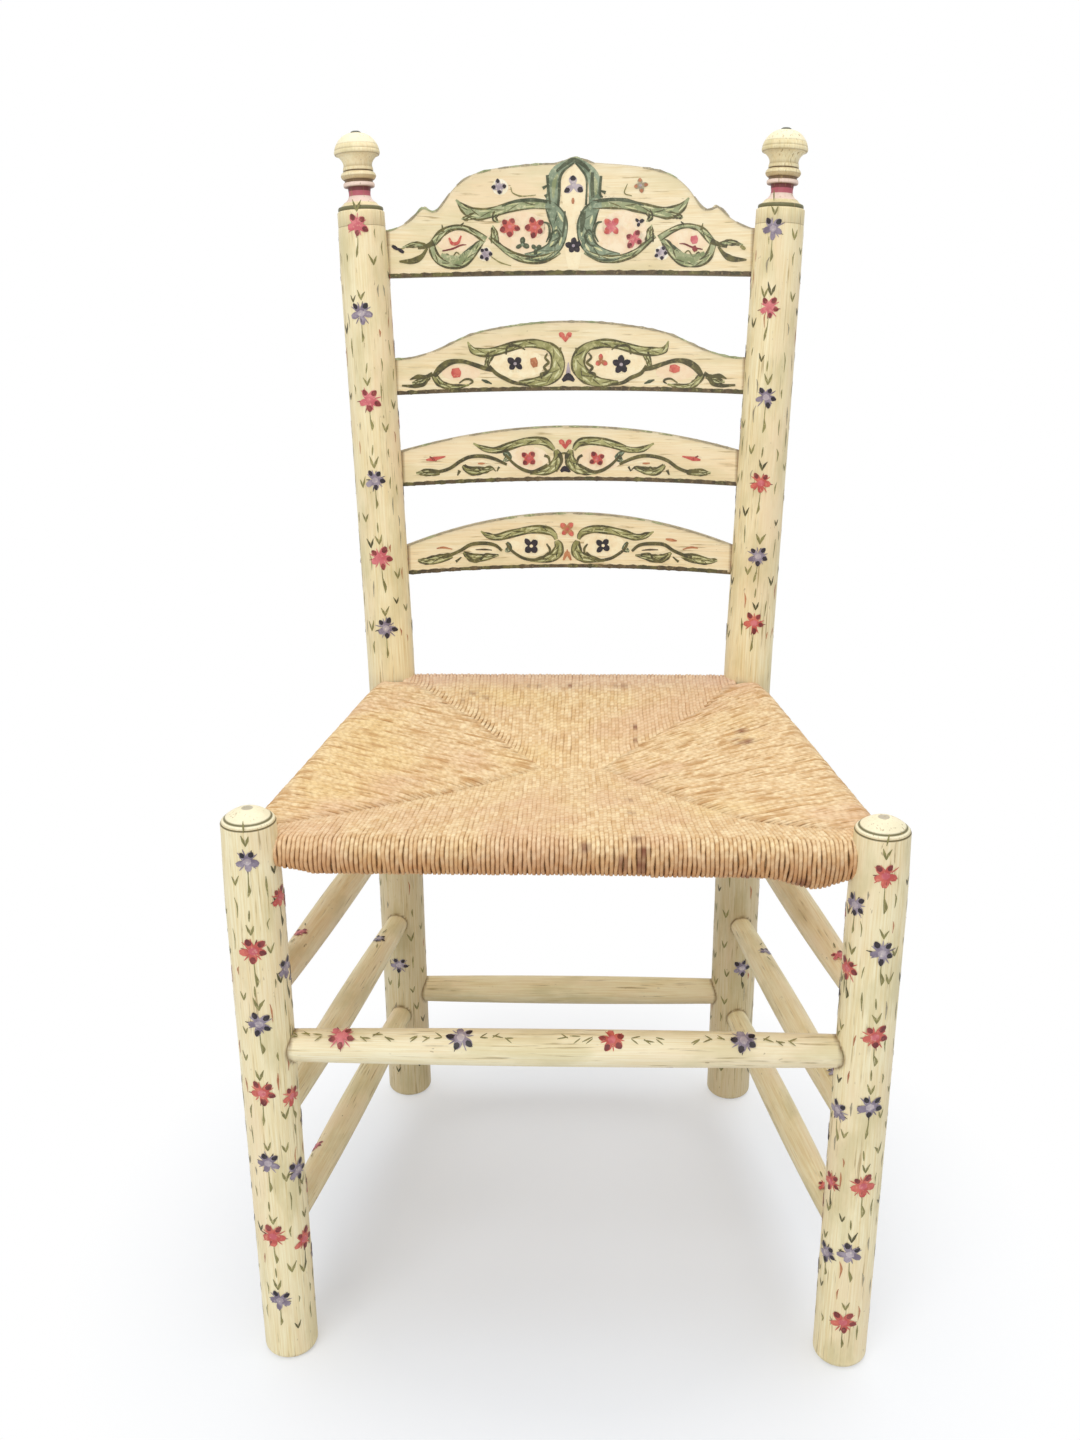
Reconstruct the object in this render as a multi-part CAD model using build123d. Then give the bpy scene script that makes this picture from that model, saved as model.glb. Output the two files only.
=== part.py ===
from build123d import *
from math import hypot, sqrt
import os

# A painted ladder-back side chair with a woven rush seat. Millimetres, +Z up, front towards -Y.
# Everything is built from a point on the floor midway between the front posts, and at the end
# the whole chair is moved so that the middle of its footprint box lies on the origin.

# whole chair
front_spread = 438.0        # between the axes of the front posts
rear_spread = 327.0         # between the axes of the rear posts, up to the seat
seat_depth = 352.0          # from the front post axes back to the rear post axes
rail_height = 434.0         # axes of the four seat rails above the floor

# front posts
front_post_radius = 20.75
front_post_rise = 22.0      # shoulder of a front post above the seat rail axes
front_dome_height = 9.5
front_dome_bulge = 2.5
foot_round = 5.0

# rear posts, bent backwards and slightly apart above the seat
rear_post_radius = 21.25
shoulder_height = 850.0     # top shoulder of a rear post above the floor
top_spread = 362.0          # between the axes of the rear posts at the shoulders
back_lean = 60.0            # shoulders behind the lower rear posts
bend_rise = 14.0            # corner of the bend above the seat rail axes
bend_radius = 600.0

# finial turned on top of each rear post, from its shoulder up
collar_height = 3.3
collar_radius = 19.0
collar_bulge = 0.4
flare_height = 9.4
flare_cove = 2.2
waist_radius = 9.5
waist_height = 7.6
ring_radius = 13.4
ring_height = 3.4
groove_radius = 12.2
groove_height = 2.4
bead_radius = 15.5
bead_height = 6.9
neck_height = 4.1
neck_radius = 12.6
bell_height = 9.6
bell_cove = 2.0
cap_rim_radius = 17.7
cap_rim_height = 3.6
cap_rim_bulge = 0.5
cap_radius = 19.6
cap_dome_height = 14.2
cap_dome_bulge = 5.2
tip_radius = 4.2
tip_height = 2.2
tip_bulge = 0.8

# round sticks between the posts
fit_clearance = 0.1         # round every tenon
socket_gap = 0.4            # past the end of every tenon
shoulder_cover = 0.6        # how far a stick's shoulder is let in below the post's surface
tenon_stop = 4.0            # stretcher tenons end this far from the post's axis
tenon_chamfer = 1.0
front_stretcher_height = 278.0
front_stretcher_radius = 13.6
front_stretcher_end_radius = 12.0
rear_stretcher_height = 114.5
rear_stretcher_radius = 13.8
rear_stretcher_end_radius = 12.4
cross_tenon_radius = 8.0    # of the front and rear stretchers
side_stretcher_radius = 12.3
side_stretcher_end_radius = 9.6
side_tenon_radius = 7.0
upper_side_front_height = 315.0
upper_side_rear_height = 306.0
middle_side_front_height = 208.0
middle_side_rear_height = 198.0
lower_side_front_height = 106.0
lower_side_rear_height = 95.5

# seat rails, hidden in the rush
rail_radius = 11.0
rail_tip_radius = 7.0       # where a rail enters a post
rail_taper = 38.0           # length over which a rail thins down to its tip
rail_tenon_radius = 6.0
rail_tenon_stop = 9.0       # rails meet in each post at one height, so their tenons stay short

# rush seat
rush_thickness = 3.0        # one layer of twisted rush
rush_clearance = 0.3        # between the rush and any wood
seat_dish = 20.0            # ridge in the middle of the seat below the top of the rolls
seat_sag = 6.0              # middle of the underside below the bottom of the rolls
ridge_half_length = 27.0
ridge_half_width = 2.0
layer_thickness = 3.6       # of the woven layers over and under the packing
edge_layer_thickness = 4.3  # of the upper layer beside the rolls
packing_inset = 9.0         # edge of the packing inside the rail axes
seam_clearance = 0.3        # between neighbouring gores of the seat
gore_margin = 10.0          # of each gore's cutting block, past the rolls
corner_overlap = 5.0        # the rolls of rush run this far into the posts before they are cut
tack_count = 6              # on each side rail, holding the short front strands
tack_pitch = 22.0
tack_first = 5.0            # first tack behind the taper of its rail
tack_shank_radius = 0.9
tack_length = 10.0
tack_head_radius = 3.5
tack_head_thickness = 0.8

# back slats, bowed backwards between the rear posts
slat_thickness = 10.0
slat_bow = 28.0             # middle of a slat behind the line between the post axes
slat_arch = 4.0             # rise of a slat's lower edge in the middle
slat_tenon_stop = 5.0       # slat tenons end this far from the post's axis
board_margin = 20.0         # of the board that a slat is cut from, past its outline and its faces
crest_drop = 55.0           # shoulder down to the lower edge of the crest slat, along the back
crest_end_height = 40.0
ear_inset = 31.5            # peak of an ear from the post's face
ear_rise = 20.8             # above the end of the crest slat
ear_sag = 1.8
notch_inset = 40.5
notch_rise = 17.0
brow_inset = 71.0           # where the steep curve ends
brow_rise = 47.0
brow_bulge = 2.3
crown_half_width = 15.0
crown_offset = 4.0          # the carved crown sits a little to the right
crown_foot_rise = 58.8
crown_rise = 63.3
crest_bulge = 2.4
crest_peg_radius = 2.6
crest_peg_inset = 12.0      # peg axis from the post axis towards the slat
crest_peg_reach = 7.0       # blind end of the peg in front of the post's axis
upper_drop = 155.0          # shoulder down to the lower edge of the upper slat
upper_end_height = 32.0
upper_crown_height = 65.0
upper_hip_inset = 42.0      # where the upper slat's arch turns into its hollow end
upper_hip_height = 45.5
upper_hollow = 1.6
upper_shoulder_inset = 84.0
upper_shoulder_height = 59.0
upper_shoulder_bulge = 1.2
middle_drop = 235.3
middle_end_height = 32.0
middle_crown_height = 53.6
lower_drop = 314.7
lower_end_height = 27.0
lower_crown_height = 55.0

left, right = -1, 1         # as seen from the front
bend_height = rail_height + bend_rise
roll_radius = rail_radius + rush_thickness


# ---- places ----

def front_point(side, height):
    return Vector(side * front_spread / 2, 0, height)


def rear_point(side, height):
    return Vector(side * rear_spread / 2, seat_depth, height)


def shoulder_point(side):
    return Vector(side * top_spread / 2, seat_depth + back_lean, shoulder_height)


def back_plane():
    """The leaning plane through both upper posts: X to the right, Y up the back, Z to the front."""
    rise = shoulder_height - bend_height
    return Plane(origin=(0, seat_depth, bend_height), x_dir=(1, 0, 0), z_dir=(0, -rise, back_lean))


def back_length():
    return hypot(back_lean, shoulder_height - bend_height)


def half_spread(up):
    """Half the distance between the rear post axes, at a height up the back plane."""
    return (rear_spread + (top_spread - rear_spread) * up / back_length()) / 2


# ---- turning ----

def swell(here, there, bulge):
    """A smooth curve between two points that stands out by bulge, to the right of its course."""
    if not bulge:
        return Line(here, there)
    course = there - here
    outward = Vector(course.Y, -course.X).normalized()
    return Bezier(here, (here + there) / 2 + outward * 2 * bulge, there)


def turned(cuts, start_radius=0.0):
    """Revolve a turning that is given from the bottom up as (height, radius, bulge) cuts."""
    edges = [Line((0, 0), (start_radius, 0))] if start_radius else []
    here = Vector(start_radius, 0)
    for height, radius, bulge in cuts:
        there = Vector(radius, here.Y + height)
        edges.append(swell(here, there, bulge))
        here = there
    if here.X > 0:
        edges.append(Line(here, (0, here.Y)))
    edges.append(Line((0, here.Y), (0, 0)))
    face = Plane.XZ * make_face(Curve() + edges)
    return revolve(face, Axis.Z)


def finial():
    """The finial, from the shoulder up, as deep as the collar below it so that it joins the post."""
    cuts = [
        (collar_height, collar_radius, collar_bulge),
        (flare_height, waist_radius, -flare_cove),
        (waist_height, waist_radius, 0),
        (0, ring_radius, 0),
        (ring_height, ring_radius, 0),
        (0, groove_radius, 0),
        (groove_height, groove_radius, 0),
        (bead_height, groove_radius, bead_radius - groove_radius),
        (neck_height, neck_radius, 0),
        (bell_height, cap_rim_radius, -bell_cove),
        (cap_rim_height, cap_radius, cap_rim_bulge),
        (cap_dome_height, tip_radius, cap_dome_bulge),
        (tip_height, 0, tip_bulge),
    ]
    return turned(cuts, rear_post_radius)


# ---- posts ----

def post_shaft(side, extra=0.0):
    """A bent rear post without its finial, or the room for it when extra is given."""
    foot = rear_point(side, 0)
    corner = rear_point(side, bend_height)
    path = FilletPolyline(foot, corner, shoulder_point(side), radius=bend_radius)
    outward = (side, 0, 0)
    section = Plane(origin=foot, x_dir=outward, z_dir=(0, 0, 1)) * Circle(rear_post_radius + extra)
    return sweep(section, path=path)


def round_foot(post):
    rim = post.faces().sort_by(Axis.Z)[0].edges()
    return fillet(rim, foot_round)


def rear_post(side):
    top = shoulder_point(side)
    shaft = round_foot(post_shaft(side))
    return shaft + Plane(origin=top, z_dir=top - rear_point(side, bend_height)) * finial()


def front_post(side):
    """A straight post with a low dome, its seam turned to the front, away from the sockets."""
    cuts = [
        (rail_height + front_post_rise, front_post_radius, 0),
        (front_dome_height, 0, front_dome_bulge),
    ]
    return Pos(front_point(side, 0)) * Rot(0, 0, -90) * round_foot(turned(cuts, front_post_radius))


# ---- sticks: stretchers and seat rails ----

def shoulder_reach(post_radius, end_radius):
    """Distance from a post's axis at which a round stick's shoulder is just let in all round."""
    return sqrt(post_radius ** 2 - end_radius ** 2) - shoulder_cover


def barrel(low, high, middle, tip, taper):
    """A stick's outline between its shoulders: one long swell, or straight with tapered ends."""
    if not taper:
        return swell(Vector(tip, low), Vector(tip, high), middle - tip)
    return Polyline((tip, low), (middle, low + taper), (middle, high - taper), (tip, high))


def stick(start, end, radii, tenon_radius, stop, post_radii, taper=0.0, grow=0.0, gap=0.0):
    """A round stick between two post axes; with grow and gap it is the sockets that take it."""
    middle, tip = radii
    length = (end - start).length
    low = shoulder_reach(post_radii[0], tip) - gap
    high = length - shoulder_reach(post_radii[1], tip) + gap
    first = stop - gap
    last = length - stop + gap
    thin = tenon_radius + grow
    wide = tip + grow
    nose = thin - tenon_chamfer
    edges = [
        Polyline((0, first), (nose, first), (thin, first + tenon_chamfer), (thin, low), (wide, low)),
        barrel(low, high, middle + grow, wide, taper),
        Polyline((wide, high), (thin, high), (thin, last - tenon_chamfer), (nose, last), (0, last)),
        Line((0, last), (0, first)),
    ]
    body = revolve(Plane.XZ * make_face(Curve() + edges), Axis.Z)
    return Plane(origin=start, z_dir=end - start) * body


def front_stretcher(**room):
    ends = front_point(left, front_stretcher_height), front_point(right, front_stretcher_height)
    radii = front_stretcher_radius, front_stretcher_end_radius
    posts = front_post_radius, front_post_radius
    return stick(*ends, radii, cross_tenon_radius, tenon_stop, posts, **room)


def rear_stretcher(**room):
    ends = rear_point(left, rear_stretcher_height), rear_point(right, rear_stretcher_height)
    radii = rear_stretcher_radius, rear_stretcher_end_radius
    posts = rear_post_radius, rear_post_radius
    return stick(*ends, radii, cross_tenon_radius, tenon_stop, posts, **room)


def side_stretcher(side, front_height, rear_height, **room):
    ends = front_point(side, front_height), rear_point(side, rear_height)
    radii = side_stretcher_radius, side_stretcher_end_radius
    posts = front_post_radius, rear_post_radius
    return stick(*ends, radii, side_tenon_radius, tenon_stop, posts, **room)


def seat_rail(start, end, posts, **room):
    radii = rail_radius, rail_tip_radius
    return stick(start, end, radii, rail_tenon_radius, rail_tenon_stop, posts, rail_taper, **room)


def rail_ends():
    """Axis ends and post radii of the four seat rails, by node name."""
    front_left, front_right = front_point(left, rail_height), front_point(right, rail_height)
    rear_left, rear_right = rear_point(left, rail_height), rear_point(right, rail_height)
    front, rear = front_post_radius, rear_post_radius
    return {
        "front_seat_rail": (front_left, front_right, (front, front)),
        "rear_seat_rail": (rear_left, rear_right, (rear, rear)),
        "left_seat_rail": (front_left, rear_left, (front, rear)),
        "right_seat_rail": (front_right, rear_right, (front, rear)),
    }


side_stretcher_heights = {
    "upper": (upper_side_front_height, upper_side_rear_height),
    "middle": (middle_side_front_height, middle_side_rear_height),
    "lower": (lower_side_front_height, lower_side_rear_height),
}


def all_sticks(**room):
    """Every round stick by node name, or the sockets for them."""
    sticks = {name: seat_rail(*ends, **room) for name, ends in rail_ends().items()}
    sticks["front_stretcher"] = front_stretcher(**room)
    sticks["rear_stretcher"] = rear_stretcher(**room)
    for side, side_name in ((left, "left"), (right, "right")):
        for level, heights in side_stretcher_heights.items():
            sticks[f"{side_name}_{level}_side_stretcher"] = side_stretcher(side, *heights, **room)
    return sticks


# ---- back slats ----

def mirrored(edges):
    """Edges of a right half and their mirror images, for an outline about the middle of the back."""
    return edges + [edge.mirror(Plane.YZ) for edge in edges]


def slat_frame(drop, end_height):
    """Lower edge, half spread, post face and tenon end of a slat, in back plane coordinates."""
    bottom = back_length() - drop
    half = half_spread(bottom + end_height / 2)
    return bottom, half, half - rear_post_radius, half - slat_tenon_stop


def slat_base(drop, end_height):
    """The lower edge and the ends of a slat's outline, up to the post's face on each side."""
    bottom, _, face, reach = slat_frame(drop, end_height)
    ends = Polyline((face, bottom), (reach, bottom), (reach, bottom + end_height),
                    (face, bottom + end_height))
    arch = ThreePointArc((-face, bottom), (0, bottom + slat_arch), (face, bottom))
    return [arch] + mirrored([ends])


def arched_outline(drop, end_height, crown_height):
    bottom, _, face, _ = slat_frame(drop, end_height)
    top = bottom + end_height
    crown = ThreePointArc((-face, top), (0, bottom + crown_height), (face, top))
    return slat_base(drop, end_height) + [crown]


def camel_outline():
    """The upper slat: a long arch that turns hollow towards the posts."""
    bottom, _, face, _ = slat_frame(upper_drop, upper_end_height)
    end = Vector(face, bottom + upper_end_height)
    hip = Vector(face - upper_hip_inset, bottom + upper_hip_height)
    shoulder = Vector(face - upper_shoulder_inset, bottom + upper_shoulder_height)
    far_shoulder = Vector(-shoulder.X, shoulder.Y)
    sides = mirrored([SagittaArc(end, hip, upper_hollow),
                      SagittaArc(hip, shoulder, -upper_shoulder_bulge)])
    crown = ThreePointArc(shoulder, (0, bottom + upper_crown_height), far_shoulder)
    return slat_base(upper_drop, upper_end_height) + sides + [crown]


def crest_outline():
    """The crest slat: an ear beside each post, a notch, a steep brow and a carved leaf crown."""
    bottom, _, face, _ = slat_frame(crest_drop, crest_end_height)
    top = bottom + crest_end_height
    end = Vector(face, top)
    ear = Vector(face - ear_inset, top + ear_rise)
    notch = Vector(face - notch_inset, top + notch_rise)
    brow = Vector(face - brow_inset, top + brow_rise)
    sides = mirrored([SagittaArc(end, ear, ear_sag), Line(ear, notch),
                      SagittaArc(notch, brow, -brow_bulge)])
    foot_right = Vector(crown_offset + crown_half_width, top + crown_foot_rise)
    foot_left = Vector(crown_offset - crown_half_width, top + crown_foot_rise)
    crown = [
        SagittaArc(brow, foot_right, -crest_bulge),
        ThreePointArc(foot_right, (crown_offset, top + crown_rise), foot_left),
        SagittaArc(foot_left, (-brow.X, brow.Y), -crest_bulge),
    ]
    return slat_base(crest_drop, crest_end_height) + sides + crown


def bowed_board(half, bottom, top, grow=0.0):
    """A tall curved board through both post axes, bowed to the back by slat_bow."""
    radius = (half ** 2 + slat_bow ** 2) / (2 * slat_bow)
    height = top - bottom
    outer = Cylinder(radius + slat_thickness / 2 + grow, height)
    inner = Cylinder(radius - slat_thickness / 2 - grow, height)
    stand = Pos(0, (top + bottom) / 2, radius - slat_bow) * Rot(90, 0, 0)
    return stand * (outer - inner)


def slat(outline, drop, end_height):
    """A slat cut to its outline from a bowed board."""
    _, half, _, _ = slat_frame(drop, end_height)
    face = make_face(Curve() + outline)
    box = face.bounding_box()
    board = bowed_board(half, box.min.Y - board_margin, box.max.Y + board_margin)
    front = slat_thickness / 2 + board_margin
    back = -slat_bow - front
    cut = Pos(0, 0, back) * extrude(face, front - back)
    return back_plane().location * (board & cut)


def mortises(drop, end_height):
    """The room for a slat's two tenons, in chair coordinates."""
    bottom, half, face, reach = slat_frame(drop, end_height)
    low = bottom - fit_clearance
    high = bottom + end_height + fit_clearance
    board = bowed_board(half, low, high, fit_clearance)
    inner = face - board_margin
    outer = reach + socket_gap
    block = Box(outer - inner, high - low, 2 * (slat_bow + board_margin))
    middle = (inner + outer) / 2
    ends = [board & Pos(side * middle, (low + high) / 2, 0) * block for side in (left, right)]
    return [back_plane().location * end for end in ends]


slat_seats = {
    "crest_slat": (crest_drop, crest_end_height),
    "upper_slat": (upper_drop, upper_end_height),
    "middle_slat": (middle_drop, middle_end_height),
    "lower_slat": (lower_drop, lower_end_height),
}


def all_slats():
    outlines = {
        "crest_slat": crest_outline(),
        "upper_slat": camel_outline(),
        "middle_slat": arched_outline(middle_drop, middle_end_height, middle_crown_height),
        "lower_slat": arched_outline(lower_drop, lower_end_height, lower_crown_height),
    }
    return {name: slat(outline, *slat_seats[name]) for name, outline in outlines.items()}


def crest_peg(side, grow=0.0, gap=0.0):
    """A peg driven from the back through a post and the tenon of the crest slat."""
    bottom, half, _, _ = slat_frame(crest_drop, crest_end_height)
    length = rear_post_radius + crest_peg_reach + gap
    peg = Cylinder(crest_peg_radius + grow, length, align=(Align.CENTER, Align.CENTER, Align.MIN))
    place = Pos(side * (half - crest_peg_inset), bottom + crest_end_height / 2, -rear_post_radius)
    return back_plane().location * place * peg


# ---- rush seat ----

def rail_corners(height):
    """Where the rail axes meet in the posts, round the seat from the front left."""
    return [front_point(left, height), front_point(right, height),
            rear_point(right, height), rear_point(left, height)]


def rail_frame(inset, height):
    """The area between the rail axes, drawn in by inset, at one height."""
    face = make_face(Polyline(*rail_corners(height), close=True))
    return offset(face, -inset, kind=Kind.INTERSECTION) if inset else face


def ridge(height):
    """The narrow level patch in the middle of the seat where all strands meet."""
    middle = seat_depth / 2
    slant = (front_spread - rear_spread) / 2 / seat_depth * ridge_half_width
    front_half = ridge_half_length + slant
    rear_half = ridge_half_length - slant
    corners = [(-front_half, middle - ridge_half_width, height),
               (front_half, middle - ridge_half_width, height),
               (rear_half, middle + ridge_half_width, height),
               (-rear_half, middle + ridge_half_width, height)]
    return make_face(Polyline(*corners, close=True))


def pillow(inset, top, bottom, ridge_top, ridge_bottom):
    """A slab between the rails, dished on top and sagging below."""
    slab = extrude(rail_frame(inset, bottom), top - bottom)
    dish = loft([rail_frame(inset, top), ridge(ridge_top)], ruled=True)
    sag = loft([rail_frame(inset, bottom), ridge(ridge_bottom)], ruled=True)
    return slab - dish + sag


def rod(start, end, radius):
    length = (end - start).length
    bar = Cylinder(radius, length, align=(Align.CENTER, Align.CENTER, Align.MIN))
    return Plane(origin=start, z_dir=end - start) * bar


def rolls():
    """A rod round each seat rail that ends inside the posts, clear of the rod round the corner."""
    rods = []
    for start, end, posts in rail_ends().values():
        along = (end - start).normalized()
        first = start + along * (posts[0] - corner_overlap)
        last = end - along * (posts[1] - corner_overlap)
        rods.append(rod(first, last, roll_radius))
    return rods


def rail_room(extra):
    """The room that the four seat rails take, up to their tenons in the posts."""
    return [seat_rail(*ends, grow=extra) for ends in rail_ends().values()]


def post_room(extra):
    """The room that the four posts take at seat height."""
    height = rail_height + front_post_rise
    posts = [rod(front_point(side, 0), front_point(side, height), front_post_radius + extra)
             for side in (left, right)]
    posts += [post_shaft(side, extra) for side in (left, right)]
    return posts


def packing(shrink=0.0):
    """The space between the upper and lower layers of rush, or the packing that fills it."""
    top = rail_height + roll_radius
    bottom = rail_height - roll_radius
    skin = layer_thickness + shrink
    return pillow(packing_inset + shrink, top - edge_layer_thickness - shrink, bottom + skin,
                  top - seat_dish - skin, bottom - seat_sag + skin)


def gore_blocks():
    """Four upright blocks that part the seat at its seams, from each post in to the ridge."""
    bottom = rail_height - roll_radius - seat_sag - gore_margin
    top = rail_height + roll_radius + gore_margin
    corners = rail_corners(bottom)
    ends = [Vector(side * ridge_half_length, seat_depth / 2, bottom) for side in (left, right)]
    inner_ends = [ends[0], ends[1], ends[1], ends[0]]
    blocks = []
    for here in range(4):
        there = (here + 1) % 4
        start, end = corners[here], corners[there]
        along = (end - start).normalized()
        outward = Vector(along.Y, -along.X, 0) * (roll_radius + gore_margin)
        plan = [start, start + outward, end + outward, end, inner_ends[there]]
        if inner_ends[here] != inner_ends[there]:
            plan.append(inner_ends[here])
        plan = offset(make_face(Polyline(*plan, close=True)), -seam_clearance / 2,
                      kind=Kind.INTERSECTION)
        blocks.append(extrude(plan, top - bottom, dir=(0, 0, 1)))
    return blocks


def rush_seat():
    """The woven seat: four gores, each a roll round its rail and a layer above and below."""
    top = rail_height + roll_radius
    bottom = rail_height - roll_radius
    body = pillow(0, top, bottom, top - seat_dish, bottom - seat_sag)
    for roll in rolls():
        body += roll
    body -= packing()
    body = drilled(body, rail_room(rush_clearance) + post_room(rush_clearance))
    return Compound([(body & block).solid() for block in gore_blocks()])


def seat_stuffing(tacks):
    rails = rail_room(rush_clearance)
    return drilled(packing(rush_clearance), rails + post_room(2 * rush_clearance) + tacks)


def rush_tack(place, grow=0.0):
    """A tack along local Z: its point at the bottom and its head on top of the rail's surface."""
    shank = Cylinder(tack_shank_radius + grow, tack_length + grow,
                     align=(Align.CENTER, Align.CENTER, Align.MAX))
    head = Cylinder(tack_head_radius + grow, tack_head_thickness + grow,
                    align=(Align.CENTER, Align.CENTER, Align.MIN))
    return place * (shank + head)


def tack_places():
    """Planes on the inner face of each side rail, pointing into the seat."""
    places = []
    for side, name in ((left, "left_seat_rail"), (right, "right_seat_rail")):
        start, end, posts = rail_ends()[name]
        along = (end - start).normalized()
        inward = Vector(-side * along.Y, side * along.X, 0)
        first = shoulder_reach(posts[0], rail_tip_radius) + rail_taper + tack_first
        for number in range(tack_count):
            spot = start + along * (first + number * tack_pitch) + inward * rail_radius
            places.append(Plane(origin=spot, z_dir=inward))
    return places


# ---- joinery and output ----

def drilled(body, tools):
    """Cut each tool out of a body, where it reaches that body."""
    for tool in tools:
        body = body - tool
    return body


def build():
    room = {"grow": fit_clearance, "gap": socket_gap}
    sockets = all_sticks(**room)
    nodes = all_sticks()
    nodes.update(all_slats())

    tacks = [rush_tack(place) for place in tack_places()]
    tack_holes = [rush_tack(place, fit_clearance) for place in tack_places()]
    for name in ("left_seat_rail", "right_seat_rail"):
        nodes[name] = drilled(nodes[name], tack_holes)

    pegs = {side: crest_peg(side) for side in (left, right)}
    peg_holes = [crest_peg(side, fit_clearance, socket_gap) for side in (left, right)]
    nodes["crest_slat"] = drilled(nodes["crest_slat"], peg_holes)

    slat_cuts = [end for seat in slat_seats.values() for end in mortises(*seat)]
    for side, side_name in ((left, "left"), (right, "right")):
        own = [tool for name, tool in sockets.items()
               if name.startswith(side_name) or not name.startswith(("left", "right"))]
        rear = drilled(rear_post(side), own + slat_cuts + peg_holes)
        nodes[f"rear_post_{side_name}"] = rear
        nodes[f"front_post_{side_name}"] = drilled(front_post(side), own)

    nodes["crest_pegs"] = Compound(children=[pegs[side] & post_shaft(side) for side in pegs])
    nodes["rush_seat"] = rush_seat()
    nodes["seat_stuffing"] = seat_stuffing([rush_tack(place, rush_clearance)
                                            for place in tack_places()])
    nodes["rush_tacks"] = Compound(children=tacks)
    return nodes


def centred(nodes):
    """Move the whole chair so that the middle of its footprint box is on the origin."""
    box = Compound(children=[Compound(nodes[name].wrapped) for name in nodes]).bounding_box()
    shift = Pos(-box.center().X, -box.center().Y, -box.min.Z)
    return {name: shift * body for name, body in nodes.items()}


os.makedirs("parts", exist_ok=True)
for node, shape in centred(build()).items():
    export_step(shape, f"parts/{node}.step")
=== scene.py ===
import itertools
import math
import random
import bpy
import numpy as np
from mathutils import Matrix, Vector


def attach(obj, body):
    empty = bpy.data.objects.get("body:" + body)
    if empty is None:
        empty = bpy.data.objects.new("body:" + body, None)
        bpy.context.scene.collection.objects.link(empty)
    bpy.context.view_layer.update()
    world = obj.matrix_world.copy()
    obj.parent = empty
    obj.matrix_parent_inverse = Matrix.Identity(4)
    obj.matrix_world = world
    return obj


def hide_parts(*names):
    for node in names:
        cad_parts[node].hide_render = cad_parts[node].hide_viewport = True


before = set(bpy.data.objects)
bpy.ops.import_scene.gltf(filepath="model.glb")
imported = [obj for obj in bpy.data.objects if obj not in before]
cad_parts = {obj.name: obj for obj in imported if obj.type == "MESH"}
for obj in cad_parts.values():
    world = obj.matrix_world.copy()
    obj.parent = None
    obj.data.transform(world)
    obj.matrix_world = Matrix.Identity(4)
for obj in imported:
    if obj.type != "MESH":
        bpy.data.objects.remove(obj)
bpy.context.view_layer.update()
print("frame loaded,", len(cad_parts), "nodes")

mm = 0.001
dice = random.Random(11)
originBehind = 215.504   # the frame's origin is this far behind the front posts


def inFrame(point):   # from the floor between the front posts to the frame's origin
    return np.array(point, float) - (0, originBehind, 0)


def tone(hexCode):   # a paint tin's colour as Blender wants it
    out = []
    for i in (1, 3, 5):
        c = int(hexCode[i:i + 2], 16) / 255
        out.append(c / 12.92 if c < 0.04045 else ((c + 0.055) / 1.055) ** 2.4)
    return (*out, 1.0)


def glaze(hexCode, cover):   # a thin coat, as a colour and how much of the wood it covers
    return (*tone(hexCode)[:3], cover)


def softLine(points, steps=6):   # an even curve through every point
    p = np.array(points, float)
    if len(p) < 3:
        return np.linspace(p[0], p[-1], steps + 1)
    p = np.vstack([2 * p[0] - p[1], p, 2 * p[-1] - p[-2]])
    out = []
    for i in range(1, len(p) - 2):
        a, b, c, d = p[i - 1:i + 3]
        for k in range(steps):
            t = k / steps
            out.append(0.5 * (2 * b + (c - a) * t + (2 * a - 5 * b + 4 * c - d) * t * t
                              + (3 * b - a - 3 * c + d) * t ** 3))
    out.append(p[-2])
    return np.array(out)


def gridFaces(rows, columns, closed=True, start=0):
    faces = []
    for i in range(rows - 1):
        for j in range(columns if closed else columns - 1):
            a = start + i * columns + j
            b = start + i * columns + (j + 1) % columns
            faces.append((a, b, b + columns, a + columns))
    return faces


attributeKinds = {1: ("FLOAT", "value"), 3: ("FLOAT_VECTOR", "vector"), 4: ("FLOAT_COLOR", "color")}


def addPiece(name, points, faces, finish, standsFor=(), marks=None):
    mesh = bpy.data.meshes.new(name)
    mesh.from_pydata(np.asarray(points).reshape(-1, 3).tolist(), [], faces)
    mesh.materials.append(finish)
    mesh.polygons.foreach_set("use_smooth", [True] * len(mesh.polygons))
    for key, values in (marks or {}).items():
        values = np.asarray(values, dtype=np.float32)
        width = 1 if values.ndim == 1 else values.shape[1]
        kind, field = attributeKinds[width]
        mesh.attributes.new(key, kind, "POINT").data.foreach_set(field, values.ravel())
    mesh.update()
    piece = bpy.data.objects.new(name, mesh)
    bpy.context.scene.collection.objects.link(piece)
    if standsFor:
        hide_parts(*standsFor)
    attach(piece, "root")


def newFinish(name, roughness, specular):
    finish = bpy.data.materials.new(name)
    finish.use_nodes = True
    shader = finish.node_tree.nodes["Principled BSDF"]
    shader.inputs["Roughness"].default_value = roughness
    shader.inputs["Specular IOR Level"].default_value = specular
    return finish, finish.node_tree, shader


def node(tree, kind, links=None, values=None, **settings):
    made = tree.nodes.new("ShaderNode" + kind)
    for key, value in settings.items():
        setattr(made, key, value)
    for key, value in (values or {}).items():
        made.inputs[key].default_value = value
    for key, source in (links or {}).items():
        tree.links.new(source, made.inputs[key])
    return made


def mark(tree, name, output="Fac"):
    return node(tree, "Attribute", attribute_name=name).outputs[output]


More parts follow.
